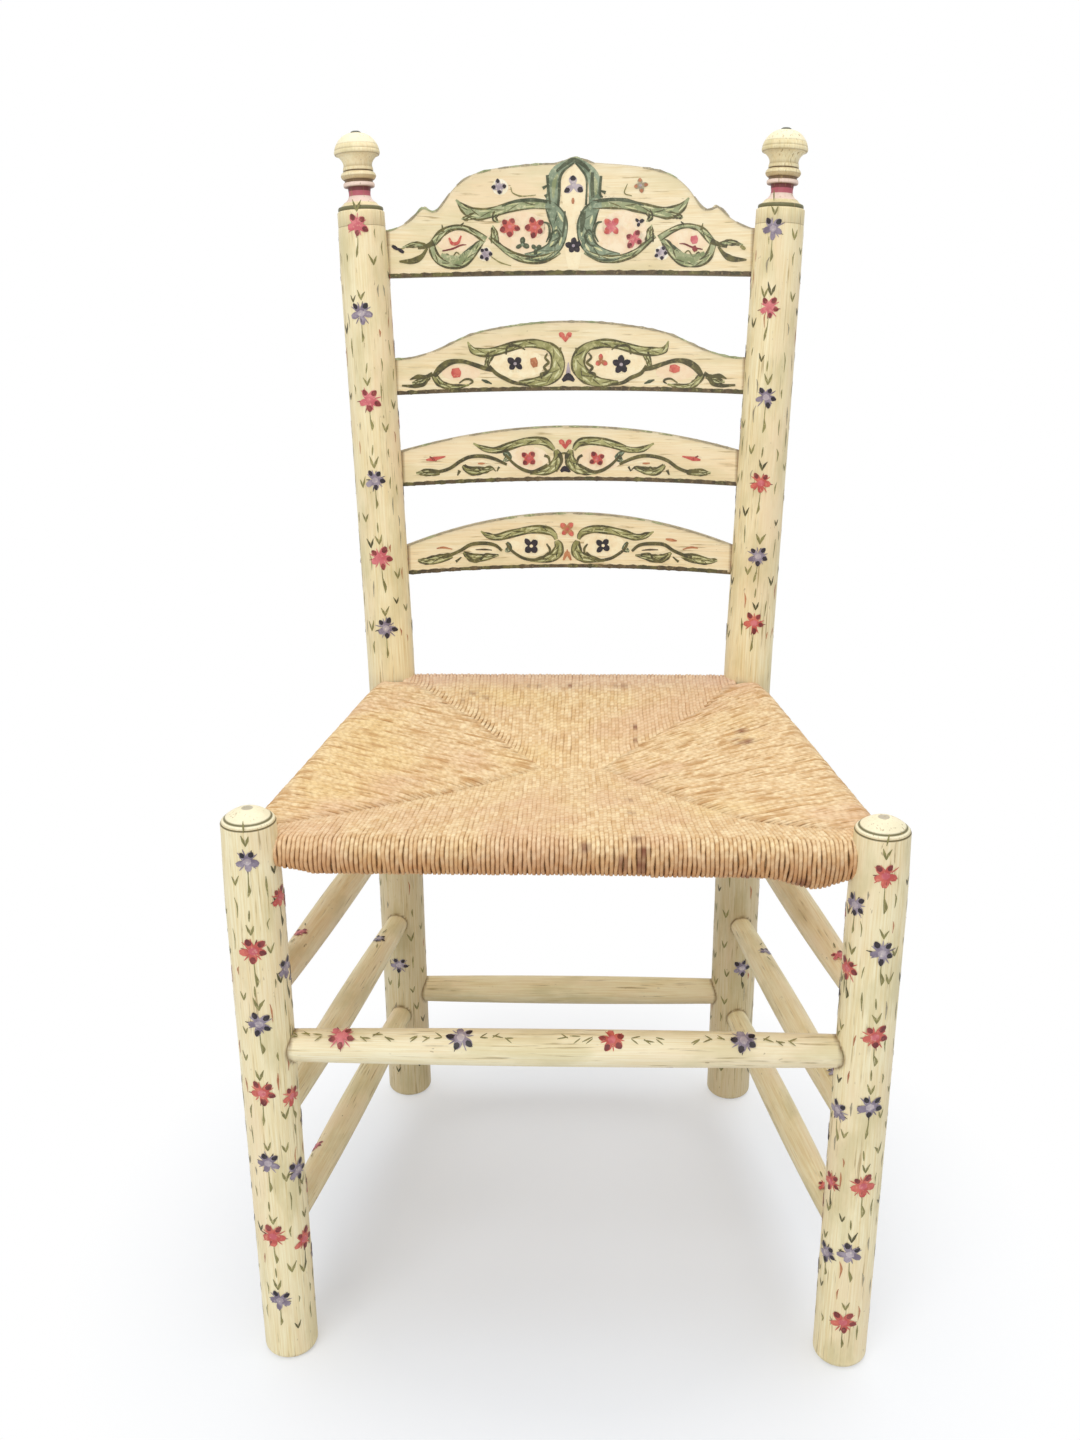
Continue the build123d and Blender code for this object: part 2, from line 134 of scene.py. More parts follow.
def cloud(source, stretch, detail, shift=(0, 0, 0), rough=0.55):   # noise, the finer the larger the stretch
    tree = source.id_data
    where = node(tree, "Mapping", {"Vector": source}, {"Scale": stretch, "Location": shift}).outputs[0]
    values = {"Scale": 1.0, "Detail": detail, "Roughness": rough}
    return node(tree, "TexNoise", {"Vector": where}, values).outputs["Fac"]


def ramp(source, low, high, a=0.0, b=1.0):
    limits = {"From Min": low, "From Max": high, "To Min": a, "To Max": b}
    return node(source.id_data, "MapRange", {"Value": source}, limits).outputs[0]


def maths(a, b, operation="MULTIPLY"):   # a is a socket, b a socket or a number
    made = node(a.id_data, "Math", {0: a}, operation=operation)
    if isinstance(b, (int, float)):
        made.inputs[1].default_value = b
    else:
        a.id_data.links.new(b, made.inputs[1])
    return made.outputs[0]


def blend(amount, a, b):   # a and b are hex codes or sockets
    made = node(amount.id_data, "Mix", {0: amount}, data_type="RGBA")
    for socket, value in ((made.inputs[6], a), (made.inputs[7], b)):
        if isinstance(value, str):
            socket.default_value = tone(value)
        else:
            amount.id_data.links.new(value, socket)
    return made.outputs[2]


def dress(shader, base, height, strength, reach):   # the colour, and a bump from the height
    tree = shader.id_data
    bump = node(tree, "Bump", {"Height": height}, {"Strength": strength, "Distance": reach})
    tree.links.new(base, shader.inputs["Base Color"])
    tree.links.new(bump.outputs[0], shader.inputs["Normal"])


creamLook = {
    "light": "#F8EDC6", "deep": "#E8D29C", "peach": "#F1D8B0", "dulled": "#CFC290",
    "crack": "#A88E5C", "speck": "#8A7048", "grimeAndShade": "#694714", "cracks": 0.75, "specks": 0.6,
}


def creamPaint(name, changes, along=(900, 900, 22)):
    look = {**creamLook, **changes}
    finish, tree, shader = newFinish(name, 0.48, 0.35)
    lie = mark(tree, "lie", "Vector")
    streaks = cloud(lie, along, 5.0, rough=0.6)
    broad = cloud(lie, (26, 26, 9), 3.0)
    patches = cloud(lie, (60, 60, 30), 4.0, (3, 1, 2))
    dulled = cloud(lie, (45, 45, 16), 4.0, (8, 2, 6))
    base = blend(ramp(streaks, 0.35, 0.68), look["light"], look["deep"])
    base = blend(ramp(broad, 0.48, 0.72, 0, 0.75), base, look["peach"])
    base = blend(ramp(patches, 0.30, 0.45, 0.35, 0), base, look["light"])
    base = blend(ramp(dulled, 0.50, 0.66, 0, 0.55), base, look["dulled"])
    coat = node(tree, "Attribute", attribute_name="coat")
    base = blend(coat.outputs["Alpha"], base, coat.outputs["Color"])
    checks = cloud(lie, (along[0] * 0.55, along[1] * 0.55, along[2] * 0.9), 2.0, (5, 5, 5))
    checks = maths(ramp(checks, 0.61, 0.67, 0, look["cracks"]), ramp(patches, 0.42, 0.6))
    base = blend(checks, base, look["crack"])
    specks = cloud(lie, (330, 330, 130), 2.0, (1, 7, 3))
    specks = maths(ramp(specks, 0.70, 0.74, 0, look["specks"]), ramp(broad, 0.45, 0.6))
    base = blend(specks, base, look["speck"])
    # darker where grimeAndShade says: dirt at the joints, grooves and feet, and painted shade on the legs
    # under the seat and on the sticks' undersides
    base = blend(mark(tree, "grimeAndShade"), base, look["grimeAndShade"])
    tree.links.new(ramp(streaks, 0.3, 0.7, 0.40, 0.58), shader.inputs["Roughness"])
    dress(shader, base, maths(streaks, checks, "SUBTRACT"), 0.35, 0.25 * mm)
    return finish


postPaint = creamPaint("cream post paint", {})
stretcherPaint = creamPaint("cream stretcher paint", {
    "light": "#FCF3D2", "deep": "#EFDCAA", "peach": "#F4DFBC", "dulled": "#DACC9C"})
boardPaint = creamPaint("cream slat paint", {
    "light": "#F8EBC8", "deep": "#EDD6A6", "dulled": "#DDCFA0"}, (700, 700, 30))


def brushPaint(name, main, shade, worn, wornShare):
    finish, tree, shader = newFinish(name, 0.42, 0.4)
    lie = mark(tree, "lie", "Vector")
    hair = cloud(lie, (420, 420, 420), 4.0)
    base = blend(ramp(cloud(lie, (120, 120, 120), 3.0, (2, 2, 2)), 0.42, 0.60), main, shade)
    base = blend(maths(mark(tree, "load"), 0.55), base, shade)
    base = blend(ramp(hair, 0.56, 0.66, 0, wornShare), base, worn)
    dress(shader, base, hair, 0.3, 0.2 * mm)
    return finish


brushTones = {   # its name, main tone, shade, and the tone and share of the worn places
    "leaf": ("leaf green", "#B5B88F", "#858E62", "#E0D8AA", 0.6),
    "olive": ("dark olive", "#6F6839", "#48432A", "#A89E68", 0.45),
    "sage": ("grey sage", "#9BA78B", "#6C7A60", "#CBCDA6", 0.55),
    "pine": ("dark sage", "#5C6349", "#41472F", "#949A78", 0.4),
    "field": ("pale cream", "#FBF0CC", "#F6E3BA", "#EBD49E", 0.4),
    "blush": ("blush cream", "#F8E6C6", "#F3D8B4", "#EBD49E", 0.4),
    "pink": ("rose pink", "#DF8183", "#C75F66", "#F3C3A8", 0.4),
    "coral": ("coral red", "#DA7462", "#C0534A", "#EFB893", 0.35),
    "wine": ("wine red", "#96423D", "#6C2B2A", "#C97A66", 0.35),
    "lilac": ("pale lilac", "#C9BCBE", "#A3959C", "#EADFCB", 0.55),
    "violet": ("dull violet", "#A699A4", "#786B7B", "#CBBFC0", 0.45),
    "ink": ("ink black", "#34292D", "#221C20", "#6A5C60", 0.25),
    "stem": ("stem olive", "#9A9259", "#7D7645", "#CDBE86", 0.55),
    "brown": ("edge brown", "#6B5A3C", "#4A3E2A", "#A8946A", 0.4),
    "grey": ("worn grey", "#B5A98A", "#968B72", "#D8C9A0", 0.5),
    "moss": ("yellow moss", "#B6B27A", "#86834C", "#E2D9A2", 0.6),
    "paleLeaf": ("pale leaf", "#DAD7A8", "#C4C48E", "#EDE4BE", 0.5),
    "halo": ("white halo", "#F9F2DC", "#F1E5C2", "#EBD9A8", 0.6),
    "rust": ("rust orange", "#C98A5E", "#AD6C48", "#E0B98C", 0.4),
}
brushes = {key: brushPaint(*tones) for key, tones in brushTones.items()}
print("finishes made")


paintLayers = {}   # piece name and brush -> what has been painted so far


def brushLine(line, widths, steps):   # an even line, its widths, and which way is sideways
    line = softLine(line, steps)
    widths = np.interp(np.linspace(0, 1, len(line)), np.linspace(0, 1, len(widths)), widths)
    run = np.gradient(line, axis=0)
    run /= np.maximum(np.linalg.norm(run, axis=1, keepdims=True), 1e-6)
    return line, widths, np.stack([-run[:, 1], run[:, 0]], axis=1)


# on is a piece's name and the way to lay on it, lift the mm above the wood
def paint(on, brush, line, widths, lift=0.15, across=3, steps=5):
    name, place = on
    line, widths, side = brushLine(line, widths, steps)
    spread = np.linspace(-0.5, 0.5, across)
    flat = line[:, None, :] + side[:, None, :] * (widths[:, None, None] * spread[None, :, None])
    flat = flat.reshape(-1, 2)
    points = place(flat[:, 0], flat[:, 1], lift)
    layer = paintLayers.setdefault((name, brush), {"points": [], "faces": [], "load": [], "count": 0})
    layer["points"].append(points)
    layer["faces"] += gridFaces(len(line), across, False, layer["count"])
    layer["load"] += [dice.random()] * len(points)
    layer["count"] += len(points)


def hangPaint():
    for (pieceName, brush), layer in paintLayers.items():
        points = np.vstack(layer["points"])
        addPiece(f"{pieceName}_{brush}_strokes", points, layer["faces"], brushes[brush],
                 marks={"lie": points, "load": layer["load"]})


def straightSpine(foot, head, up):
    foot, head = np.array(foot) * mm, np.array(head) * mm
    length = np.linalg.norm(head - foot)
    axis = (head - foot) / length
    ahead = np.array(up, float) - axis * np.dot(axis, up)
    ahead /= np.linalg.norm(ahead)
    aside = np.cross(axis, ahead)

    def spine(along):
        along = np.atleast_1d(along)
        centre = foot + along[:, None] * axis
        return centre, np.tile(aside, (len(along), 1)), np.tile(ahead, (len(along), 1))
    spine.length = length
    return spine


frontPost = {"side": 219.0, "depth": 0.0, "radius": 20.75, "shoulders": {"left": 460.0, "right": 456.0},
             "dome": 9.5, "scribe": 16.4}
backPost = {"side": 163.5, "depth": 352.0, "radius": 21.25, "bendHeight": 448.0, "bendRadius": 600.0,
            "topSide": 181.0, "lean": 60.0, "shoulder": 850.0}


def bentSpine(side):
    bend = backPost["bendRadius"]
    foot = inFrame((side * backPost["side"], backPost["depth"], 0))
    corner = foot + (0, 0, backPost["bendHeight"])
    top = np.array([side * backPost["topSide"], foot[1] + backPost["lean"], backPost["shoulder"]])
    lean = (top - corner) / np.linalg.norm(top - corner)
    angle = math.acos(lean[2])
    tangent = bend * math.tan(angle / 2)
    sideways = lean - np.array([0, 0, lean[2]])
    sideways /= np.linalg.norm(sideways)
    straight = backPost["bendHeight"] - tangent
    arc = bend * angle

    def spine(along):
        centres, sides, fronts = [], [], []
        for a in np.atleast_1d(along) / mm:
            if a <= straight:
                centre, axis = foot + (0, 0, a), np.array([0, 0, 1.0])
            elif a <= straight + arc:
                t = (a - straight) / bend
                centre = foot + (0, 0, straight + bend * math.sin(t)) + sideways * bend * (1 - math.cos(t))
                axis = np.array([0, 0, math.cos(t)]) + sideways * math.sin(t)
            else:
                centre, axis = corner + lean * (tangent + a - straight - arc), lean
            ahead = np.array([0, -1.0, 0]) - axis * -axis[1]
            ahead /= np.linalg.norm(ahead)
            centres.append(centre * mm)
            sides.append(np.cross(axis, ahead))
            fronts.append(ahead)
        return np.array(centres), np.array(sides), np.array(fronts)
    spine.length = (straight + arc + np.linalg.norm(top - corner) - tangent) * mm
    return spine


def jointGrime(points, joints, width=1.3):   # dirt that gathers where one round piece enters another
    grimeAndShade = np.zeros(len(points))
    for origin, axis, radius, strength, oneSide in joints:
        d = points / mm - np.array(origin)
        axis = np.array(axis, float) / np.linalg.norm(axis)
        ahead = d @ axis
        d = np.linalg.norm(d - np.outer(ahead, axis), axis=1) - radius
        near = strength * np.exp(-(d / width) ** 2)
        grimeAndShade = np.maximum(grimeAndShade, np.where(ahead > 0, near, 0) if oneSide else near)
    return grimeAndShade


pieceCount = itertools.count(1)
grainStep = np.array([0.31, 0.17, 0.53])


def ownGrain(lie):   # every piece takes its grain from another place
    return lie + grainStep * next(pieceCount)


def turnPiece(name, spine, rings, standsFor, finish, sides=72, joints=(), shadeAt=None):
    along = np.array([r[0] for r in rings]) * mm
    radius = np.array([r[1] for r in rings]) * mm
    coats = np.array([r[2] if len(r) > 2 and r[2] else (0, 0, 0, 0) for r in rings], float)
    dirtAndShade = np.array([r[3] if len(r) > 3 else 0.0 for r in rings])
    centre, aside, ahead = spine(along)
    turn = np.linspace(0, 2 * math.pi, sides, endpoint=False)
    radial = np.sin(turn)[None, :, None] * aside[:, None, :] + np.cos(turn)[None, :, None] * ahead[:, None, :]
    points = (centre[:, None, :] + radius[:, None, None] * radial).reshape(-1, 3)
    lie = np.stack([np.outer(radius, np.sin(turn)).ravel(), np.outer(radius, np.cos(turn)).ravel(),
                    np.repeat(along, sides)], axis=1)
    grimeAndShade = np.maximum(np.repeat(dirtAndShade, sides), jointGrime(points, joints))
    # painted shade from shadeAt, laid into grimeAndShade
    if shadeAt:
        grimeAndShade = np.maximum(grimeAndShade, shadeAt(np.repeat(along / mm, sides), np.tile(turn, len(rings))))
    faces = gridFaces(len(rings), sides)
    last = (len(rings) - 1) * sides
    faces.append(tuple(range(sides - 1, -1, -1)))
    faces.append(tuple(range(last, last + sides)))
    addPiece(name, points, faces, finish, standsFor,
             {"lie": ownGrain(lie), "coat": np.repeat(coats, sides, axis=0), "grimeAndShade": grimeAndShade})


def topTaper(depth, start, reach):   # how much thinner a post gets on its way up to the top
    return lambda v: depth * np.clip((np.asarray(v) - start) / reach, 0, 1) ** 1.5


thinning = {"front_left": (1.3, 395, 55), "front_right": (1.3, 395, 55),
            "rear_left": (0.9, 795, 50), "rear_right": (0.5, 795, 50)}
tapers = {name: topTaper(*values) for name, values in thinning.items()}


def aroundPost(name, spine, radius, angle=0.0, taper=None):   # u mm round it from that angle, v mm along it
    def place(u, v, lift):
        centre, aside, ahead = spine(np.asarray(v) * mm)
        a = np.asarray(u) / radius + math.radians(angle)
        out = np.sin(a)[:, None] * aside + np.cos(a)[:, None] * ahead
        thinner = taper(v)[:, None] if taper else 0
        return centre + (radius + lift - thinner) * mm * out
    return name, place


def evenRings(start, end, radius, step=2.5):
    count = max(2, int((end - start) / step) + 1)
    return [(a, radius) for a in np.linspace(start, end, count)]


def footRings(radius, rounding=5.0):
    rings = []
    for k in range(7):
        t = math.pi / 2 * k / 6
        inset = rounding * (1 - math.sin(t))
        rings.append((rounding * (1 - math.cos(t)), radius - inset, None, 0.35 * (1 - k / 6)))
    return rings


def section(rings, height, fromRadius, toRadius, bulge, coat, dirtAndShade, steps):
    start = rings[-1][0]
    for k in range(steps + 1):
        t = k / steps
        along = start + max(height, 0.05) * t + (0.03 if k == 0 else 0)
        radius = fromRadius + (toRadius - fromRadius) * t + 4 * bulge * t * (1 - t)
        edge = dirtAndShade[0] * max(0, 1 - 4 * t) + dirtAndShade[1] * max(0, 4 * t - 3)
        rings.append((along, max(radius, 0.05), coat, edge))


finial = {
    "green": glaze("#5F5E3A", 0.92), "rose": glaze("#B9586A", 0.95), "wine": glaze("#6E2030", 0.95),
    "blush": glaze("#F4D9CC", 0.85), "brown": glaze("#664527", 0.9), "tip": glaze("#565C54", 0.95),
    "pale": glaze("#F8F0D2", 0.6), "tan": glaze("#A9854F", 0.5),
}
# from the shoulder up: height, radius below and above, bulge, coat, dirt below and above, steps
finialTurnings = [
    (3.3, 19.0, 19.0, 0.5, "green", (0.25, 0.0), 6), (3.6, 18.6, 14.3, -0.6, None, (0.3, 0.0), 6),
    (5.6, 14.3, 9.6, -1.0, "blush", (0.0, 0.0), 6), (4.2, 9.5, 9.5, -0.2, "rose", (0.0, 0.0), 6),
    (3.4, 9.5, 9.9, 0.0, "wine", (0.0, 0.5), 6), (3.4, 13.0, 13.0, 0.5, "blush", (0.45, 0.1), 6),
    (2.4, 12.2, 12.2, -0.2, "brown", (0.3, 0.3), 6), (3.0, 12.8, 15.0, 0.5, "tan", (0.4, 0.0), 6),
    (3.6, 15.2, 13.2, 0.5, None, (0.0, 0.5), 6), (0.9, 12.0, 12.0, 0, "brown", (0.3, 0.3), 3),
    (3.2, 12.9, 12.5, 0.25, None, (0.2, 0.3), 6), (9.6, 12.4, 17.7, -1.9, None, (0.3, 0.15), 10),
    (3.4, 18.9, 19.4, 0.45, None, (0.6, 0.05), 6), (0.4, 19.2, 19.2, 0, None, (0.35, 0.35), 2)]
cap = {"rim": 19.3, "tip": 4.4, "height": 14.0}   # the dome that ends it


def endAt(post, side, height):
    return side * post["side"], post["depth"], height


sticks = {   # left or front end, right or rear end, radius in the middle and at the ends, tenon's radius
    "front_stretcher": {
        "ends": (endAt(frontPost, -1, 278), endAt(frontPost, 1, 278)), "radii": (13.6, 12.0), "tenon": 8},
    "rear_stretcher": {
        "ends": (endAt(backPost, -1, 114.5), endAt(backPost, 1, 114.5)), "radii": (13.8, 12.4), "tenon": 8},
}
for side, word in ((-1, "left"), (1, "right")):
    for level, low, high in (("upper", 315, 306), ("middle", 208, 198), ("lower", 106, 95.5)):
        ends = endAt(frontPost, side, low), endAt(backPost, side, high)
        sticks[f"{word}_{level}_side_stretcher"] = {"ends": ends, "radii": (12.3, 9.6), "tenon": 7}


# how deep the shoulders sit in the posts, and how far from a post's axis the tenons end
tenonBuild = {"sunk": 0.6, "reach": 4, "bevel": 1, "step": 0.05}


def postRadius(depth):
    return (backPost if depth else frontPost)["radius"]


def sticksInto(post, side):   # the joint of every stick that enters that post
    found = []
    for s in sticks.values():
        for end, far in (s["ends"], s["ends"][::-1]):
            if end[:2] == endAt(post, side, 0)[:2]:
                found.append((inFrame(end), np.array(far) - end, s["radii"][1], 0.85, True))
    return found


def buildFrontPost(side):
    word = "left" if side < 0 else "right"
    p = frontPost
    spine = straightSpine(inFrame((side * p["side"], 0, 0)), inFrame((side * p["side"], 0, 500)), (0, -1, 0))
    rings = footRings(p["radius"])
    shoulder = p["shoulders"][word]
    rings += [(a, r - float(tapers[f"front_{word}"](a))) for a, r in evenRings(6, shoulder - 2, p["radius"])]
    green = finial["green"]
    pale, worn = glaze("#F6F0D4", 0.6), glaze("#8D8A8A", 0.6)
    crown = p["radius"] - thinning[f"front_{word}"][0]
    for drop, inset, coat in ((1.2, 0, None), (0.6, 0.25, green), (0.0, 0.65, green), (-0.3, 0.6, None)):
        rings.append((shoulder - drop, crown - inset, coat, 0.35 if coat else 0))
    for k in range(1, 27):
        radius = (crown - 0.65) * (1 - k / 26.05)
        groove = max(0.0, 1 - abs(radius - p["scribe"]) / 0.8)
        height = shoulder + p["dome"] * (1 - (radius / crown) ** 2) - 0.45 * groove
        coat = worn if radius < 4.2 else green if groove > 0.35 else pale
        rings.append((height, max(radius, 0.05), coat, 0.15 * groove))
    turnPiece(f"turned_front_post_{word}", spine, rings, [f"front_post_{word}"], postPaint, 84,
              sticksInto(p, side))
    return spine


def buildRearPost(side):
    word = "left" if side < 0 else "right"
    p = backPost
    spine = bentSpine(side)
    top = spine.length / mm
    thinner = tapers[f"rear_{word}"]
    rings = footRings(p["radius"])
    rings += [(a, r - float(thinner(a))) for a, r in evenRings(6, top - 14.5, p["radius"])]
    for drop, inset, dirtAndShade in ((13.6, 0, 0.1), (13.1, 0.3, 0.55), (12.6, 0, 0.1), (1.4, 0, 0),
                              (0.5, 0.25, 0), (0.1, 1.05, 0.3)):   # a scribed ring, then the eased shoulder
        rings.append((top - drop, p["radius"] - inset - float(thinner(top)), None, dirtAndShade))
    for height, low, high, bulge, coat, dirtAndShade, steps in finialTurnings:
        section(rings, height, low, high, bulge, finial.get(coat), dirtAndShade, steps)
    start = rings[-1][0]
    for k in range(1, 19):   # the cap's dome, steep at the rim and flat by the tip
        t = k / 18
        radius = cap["rim"] + (cap["tip"] - cap["rim"]) * t ** 1.45
        height = cap["height"] * math.sin(t * math.pi / 2) ** 0.96
        rings.append((start + height, radius, finial["pale"] if k > 3 else None, 0.0))
    section(rings, 1.9, 4.6, 3.2, 0.5, finial["tip"], (0.3, 0.0), 4)
    rings.append((rings[-1][0] + 0.3, 0.1, finial["tip"], 0))

    def legShadeUnderSeat(along, turn):   # painted shade: the leg under the seat is darker than the back
        return 0.29 * np.clip((455 - along) / 30, 0, 1)
    turnPiece(f"turned_rear_post_{word}", spine, rings, [f"rear_post_{word}"], postPaint, 84,
              sticksInto(p, side), legShadeUnderSeat)
    return spine


def buildStick(name, s):
    a, b = inFrame(s["ends"][0]), inFrame(s["ends"][1])
    spine = straightSpine(a, b, (0, 0, 1))
    length = spine.length / mm
    middle, tip = s["radii"]
    posts = [postRadius(end[1]) for end in s["ends"]]
    sunk, reach, bevel, step = (tenonBuild[k] for k in ("sunk", "reach", "bevel", "step"))
    low = math.sqrt(posts[0] ** 2 - tip ** 2) - sunk
    high = length - math.sqrt(posts[1] ** 2 - tip ** 2) + sunk
    rings = [(reach, s["tenon"] - bevel), (reach + bevel, s["tenon"]), (low - step, s["tenon"])]
    for k in range(161):
        t = k / 160
        rings.append((low + (high - low) * t, tip + (middle - tip) * 4 * t * (1 - t)))
    rings += [(high + step, s["tenon"]), (length - reach - bevel, s["tenon"]),
              (length - reach, s["tenon"] - bevel)]
    joints = [(inFrame((*end[:2], 0)), (0, 0, 1), post, 0.9, False) for end, post in zip(s["ends"], posts)]
    front = name == "front_stretcher"
    # painted shade: each stick is darker on its underside, the side and rear ones more than the front one
    dirtAndShade, base = (0.14, 0.0) if front else (0.36, 0.02)
    turnPiece(f"turned_{name}", spine, rings, [name], stretcherPaint if front else postPaint, 48, joints,
              lambda along, turn: base + dirtAndShade * np.clip(0.3 - np.cos(turn), 0, 1))   # painted shade on the underside
    return spine


spines = {"front_left": buildFrontPost(-1), "front_right": buildFrontPost(1),
          "rear_left": buildRearPost(-1), "rear_right": buildRearPost(1)}
for stickName, stick in sticks.items():
    spines[stickName] = buildStick(stickName, stick)
print("posts and stretchers turned")


# the back's own plane: right, up the back, and out to the front
backRise = backPost["shoulder"] - backPost["bendHeight"]
backUp = np.array([0, backPost["lean"], backRise]) / math.hypot(backPost["lean"], backRise)
backAhead = np.array([0, -backUp[2], backUp[1]])
backFoot = inFrame((0, backPost["depth"], backPost["bendHeight"]))

# half a slat's length with its tenons, its lower edge, how high its upper edge stands above that at the
# posts and in the middle, or else the upper edge's points from the right post to the middle
slats = {
    "crest_slat": {
        "half": 180.0, "bottom": 351.45,
        "brow": [(177, 391.4), (161, 391.6), (153, 393.4), (145, 397.4), (137, 403.3), (131, 409.6),
                 (128, 412.0), (126, 412.0), (123.5, 409.6), (120, 408.6), (117, 408.9), (114.5, 411.3),
                 (110, 417.2), (104.5, 425.0), (97, 432.4), (88, 438.5), (75, 442.9), (61, 445.6),
                 (44, 447.7), (26, 449.2)],
        "crown": [(19, 449.9), (15, 451.6), (12, 451.7), (9, 453.6), (4, 454.5), (-1, 453.6), (-4, 451.7),
                  (-7, 451.6), (-11, 449.9), (-18, 449.3)]},
    "upper_slat": {
        "half": 175.5, "bottom": 251.45,
        "brow": [(173, 283.3), (155, 283.5), (142, 284.6), (130, 287.6), (118, 291.8), (106, 297.4),
                 (94, 303.0), (84, 306.4), (70, 309.7), (50, 313.0), (30, 315.3), (12, 316.3)],
        "crown": [(0, 316.4)]},
    "middle_slat": {"half": 171.5, "bottom": 171.15, "end": 32.0, "arch": 53.6},
    "lower_slat": {"half": 168.0, "bottom": 91.75, "end": 27.0, "arch": 55.0},
}
# letIn is how far a slat goes into a post, and arch is how far its lower edge rises
slatBuild = {"bow": 28.0, "thickness": 10.0, "arch": 4.0, "round": 3.0, "letIn": 20.0, "endGap": 4.0,
             "step": 1.25}


def bowRadius(half):
    return (half ** 2 + slatBuild["bow"] ** 2) / (2 * slatBuild["bow"])


def onSlat(slatName):   # u mm right of the middle, v mm up the back, on the front face
    radius = bowRadius(slats[slatName]["half"])

    def place(u, v, lift):
        face = radius - slatBuild["thickness"] / 2
        phi = np.arcsin(np.asarray(u) / face)
        rho = face - lift
        out = np.outer(rho * np.sin(phi), (1.0, 0, 0)) + np.outer(v, backUp)
        out += np.outer(radius - slatBuild["bow"] - rho * np.cos(phi), backAhead)
        return (backFoot + out) * mm
    return slatName, place


def slatTop(s, xs):
    if "brow" in s:
        mirrored = [(-x, y) for x, y in s["brow"]][::-1]
        line = softLine(s["brow"] + s["crown"] + mirrored, 6)
        line = line[np.argsort(line[:, 0], kind="stable")]
        return np.interp(xs, line[:, 0], line[:, 1])
    face = s["half"] - slatBuild["letIn"]
    low, high = s["bottom"] + s["end"], s["bottom"] + s["arch"]
    return low + (high - low) * np.clip(1 - (xs / face) ** 2, 0, 1)


def buildSlat(name):
    s, b = slats[name], slatBuild
    radius = bowRadius(s["half"])
    reach = s["half"] - b["endGap"]
    xs = np.linspace(-reach, reach, int(2 * reach / b["step"]) + 1)
    tops = slatTop(s, xs)
    face = s["half"] - b["letIn"]
    bottoms = s["bottom"] + b["arch"] * np.clip(1 - (xs / face) ** 2, 0, 1)
    wave = np.cumsum([dice.uniform(-1, 1) for _ in xs])
    wave = (wave - np.convolve(wave, np.ones(25) / 25, "same")) * 0.02
    tops, bottoms = tops + wave, bottoms + wave[::-1]
    half, soft = b["thickness"] / 2, b["round"]
    # share of the height, mm above it, depth: up the front, over the top, down the back and under
    quarter = [(math.sin(t * math.pi / 8), math.cos(t * math.pi / 8)) for t in range(5)]
    outline = [(k / 10, soft * (1 - k / 5), half) for k in range(11)]
    outline += [(1, soft * (u - 1), half - soft * (1 - v)) for u, v in quarter[1:]]
    outline += [(1, soft * (v - 1), soft * (1 - u) - half) for u, v in quarter]
    outline += [(1 - k / 6, soft * (k / 3 - 1), -half) for k in range(1, 7)]
    outline += [(0, soft * (1 - u), soft * (1 - v) - half) for u, v in quarter[1:]]
    outline += [(0, soft * (1 - v), half - soft * (1 - u)) for u, v in quarter[:-1]]
    outline = np.array(outline)
    share, extra, depth = outline[:, 0], outline[:, 1], outline[:, 2]
    v = bottoms[:, None] + (tops - bottoms)[:, None] * share[None, :] + extra[None, :]
    phi = np.arcsin(xs / radius)
    rho = radius - depth[None, :]
    across = rho * np.sin(phi)[:, None]
    out = radius - b["bow"] - rho * np.cos(phi)[:, None]
    points = backFoot + across[..., None] * (1.0, 0, 0) + v[..., None] * backUp + out[..., None] * backAhead
    columns = len(outline)
    lie = np.stack([np.broadcast_to(depth, v.shape), v, across], axis=-1).reshape(-1, 3) * mm
    fromTop = (tops[:, None] - v).ravel()
    fromBottom = (v - bottoms[:, None]).ravel()
    coat = np.zeros((len(lie), 4))   # rubbed dark along the edges
    coat[:, :3] = tone("#A2957A")[:3]
    coat[:, 3] = 0.8 * np.exp(-np.maximum(fromTop - 0.5, 0) / 1.6)
    low = fromBottom < 2.6
    coat[low, :3] = tone("#5E5136")[:3]
    coat[low, 3] = 0.85
    faces = [f[::-1] for f in gridFaces(len(xs), columns)]
    last = (len(xs) - 1) * columns
    faces.append(tuple(range(columns)))
    faces.append(tuple(range(last + columns - 1, last - 1, -1)))
    toPost = s["half"] - b["letIn"] - 1.5 - np.abs(across.ravel())
    grimeAndShade = np.clip(1 - toPost / 2.2, 0, 0.7)
    addPiece(f"bowed_{name}", points * mm, faces, boardPaint, [name],
             {"lie": ownGrain(lie), "coat": coat, "grimeAndShade": grimeAndShade})


for slatName in slats:
    buildSlat(slatName)
print("slats bowed")


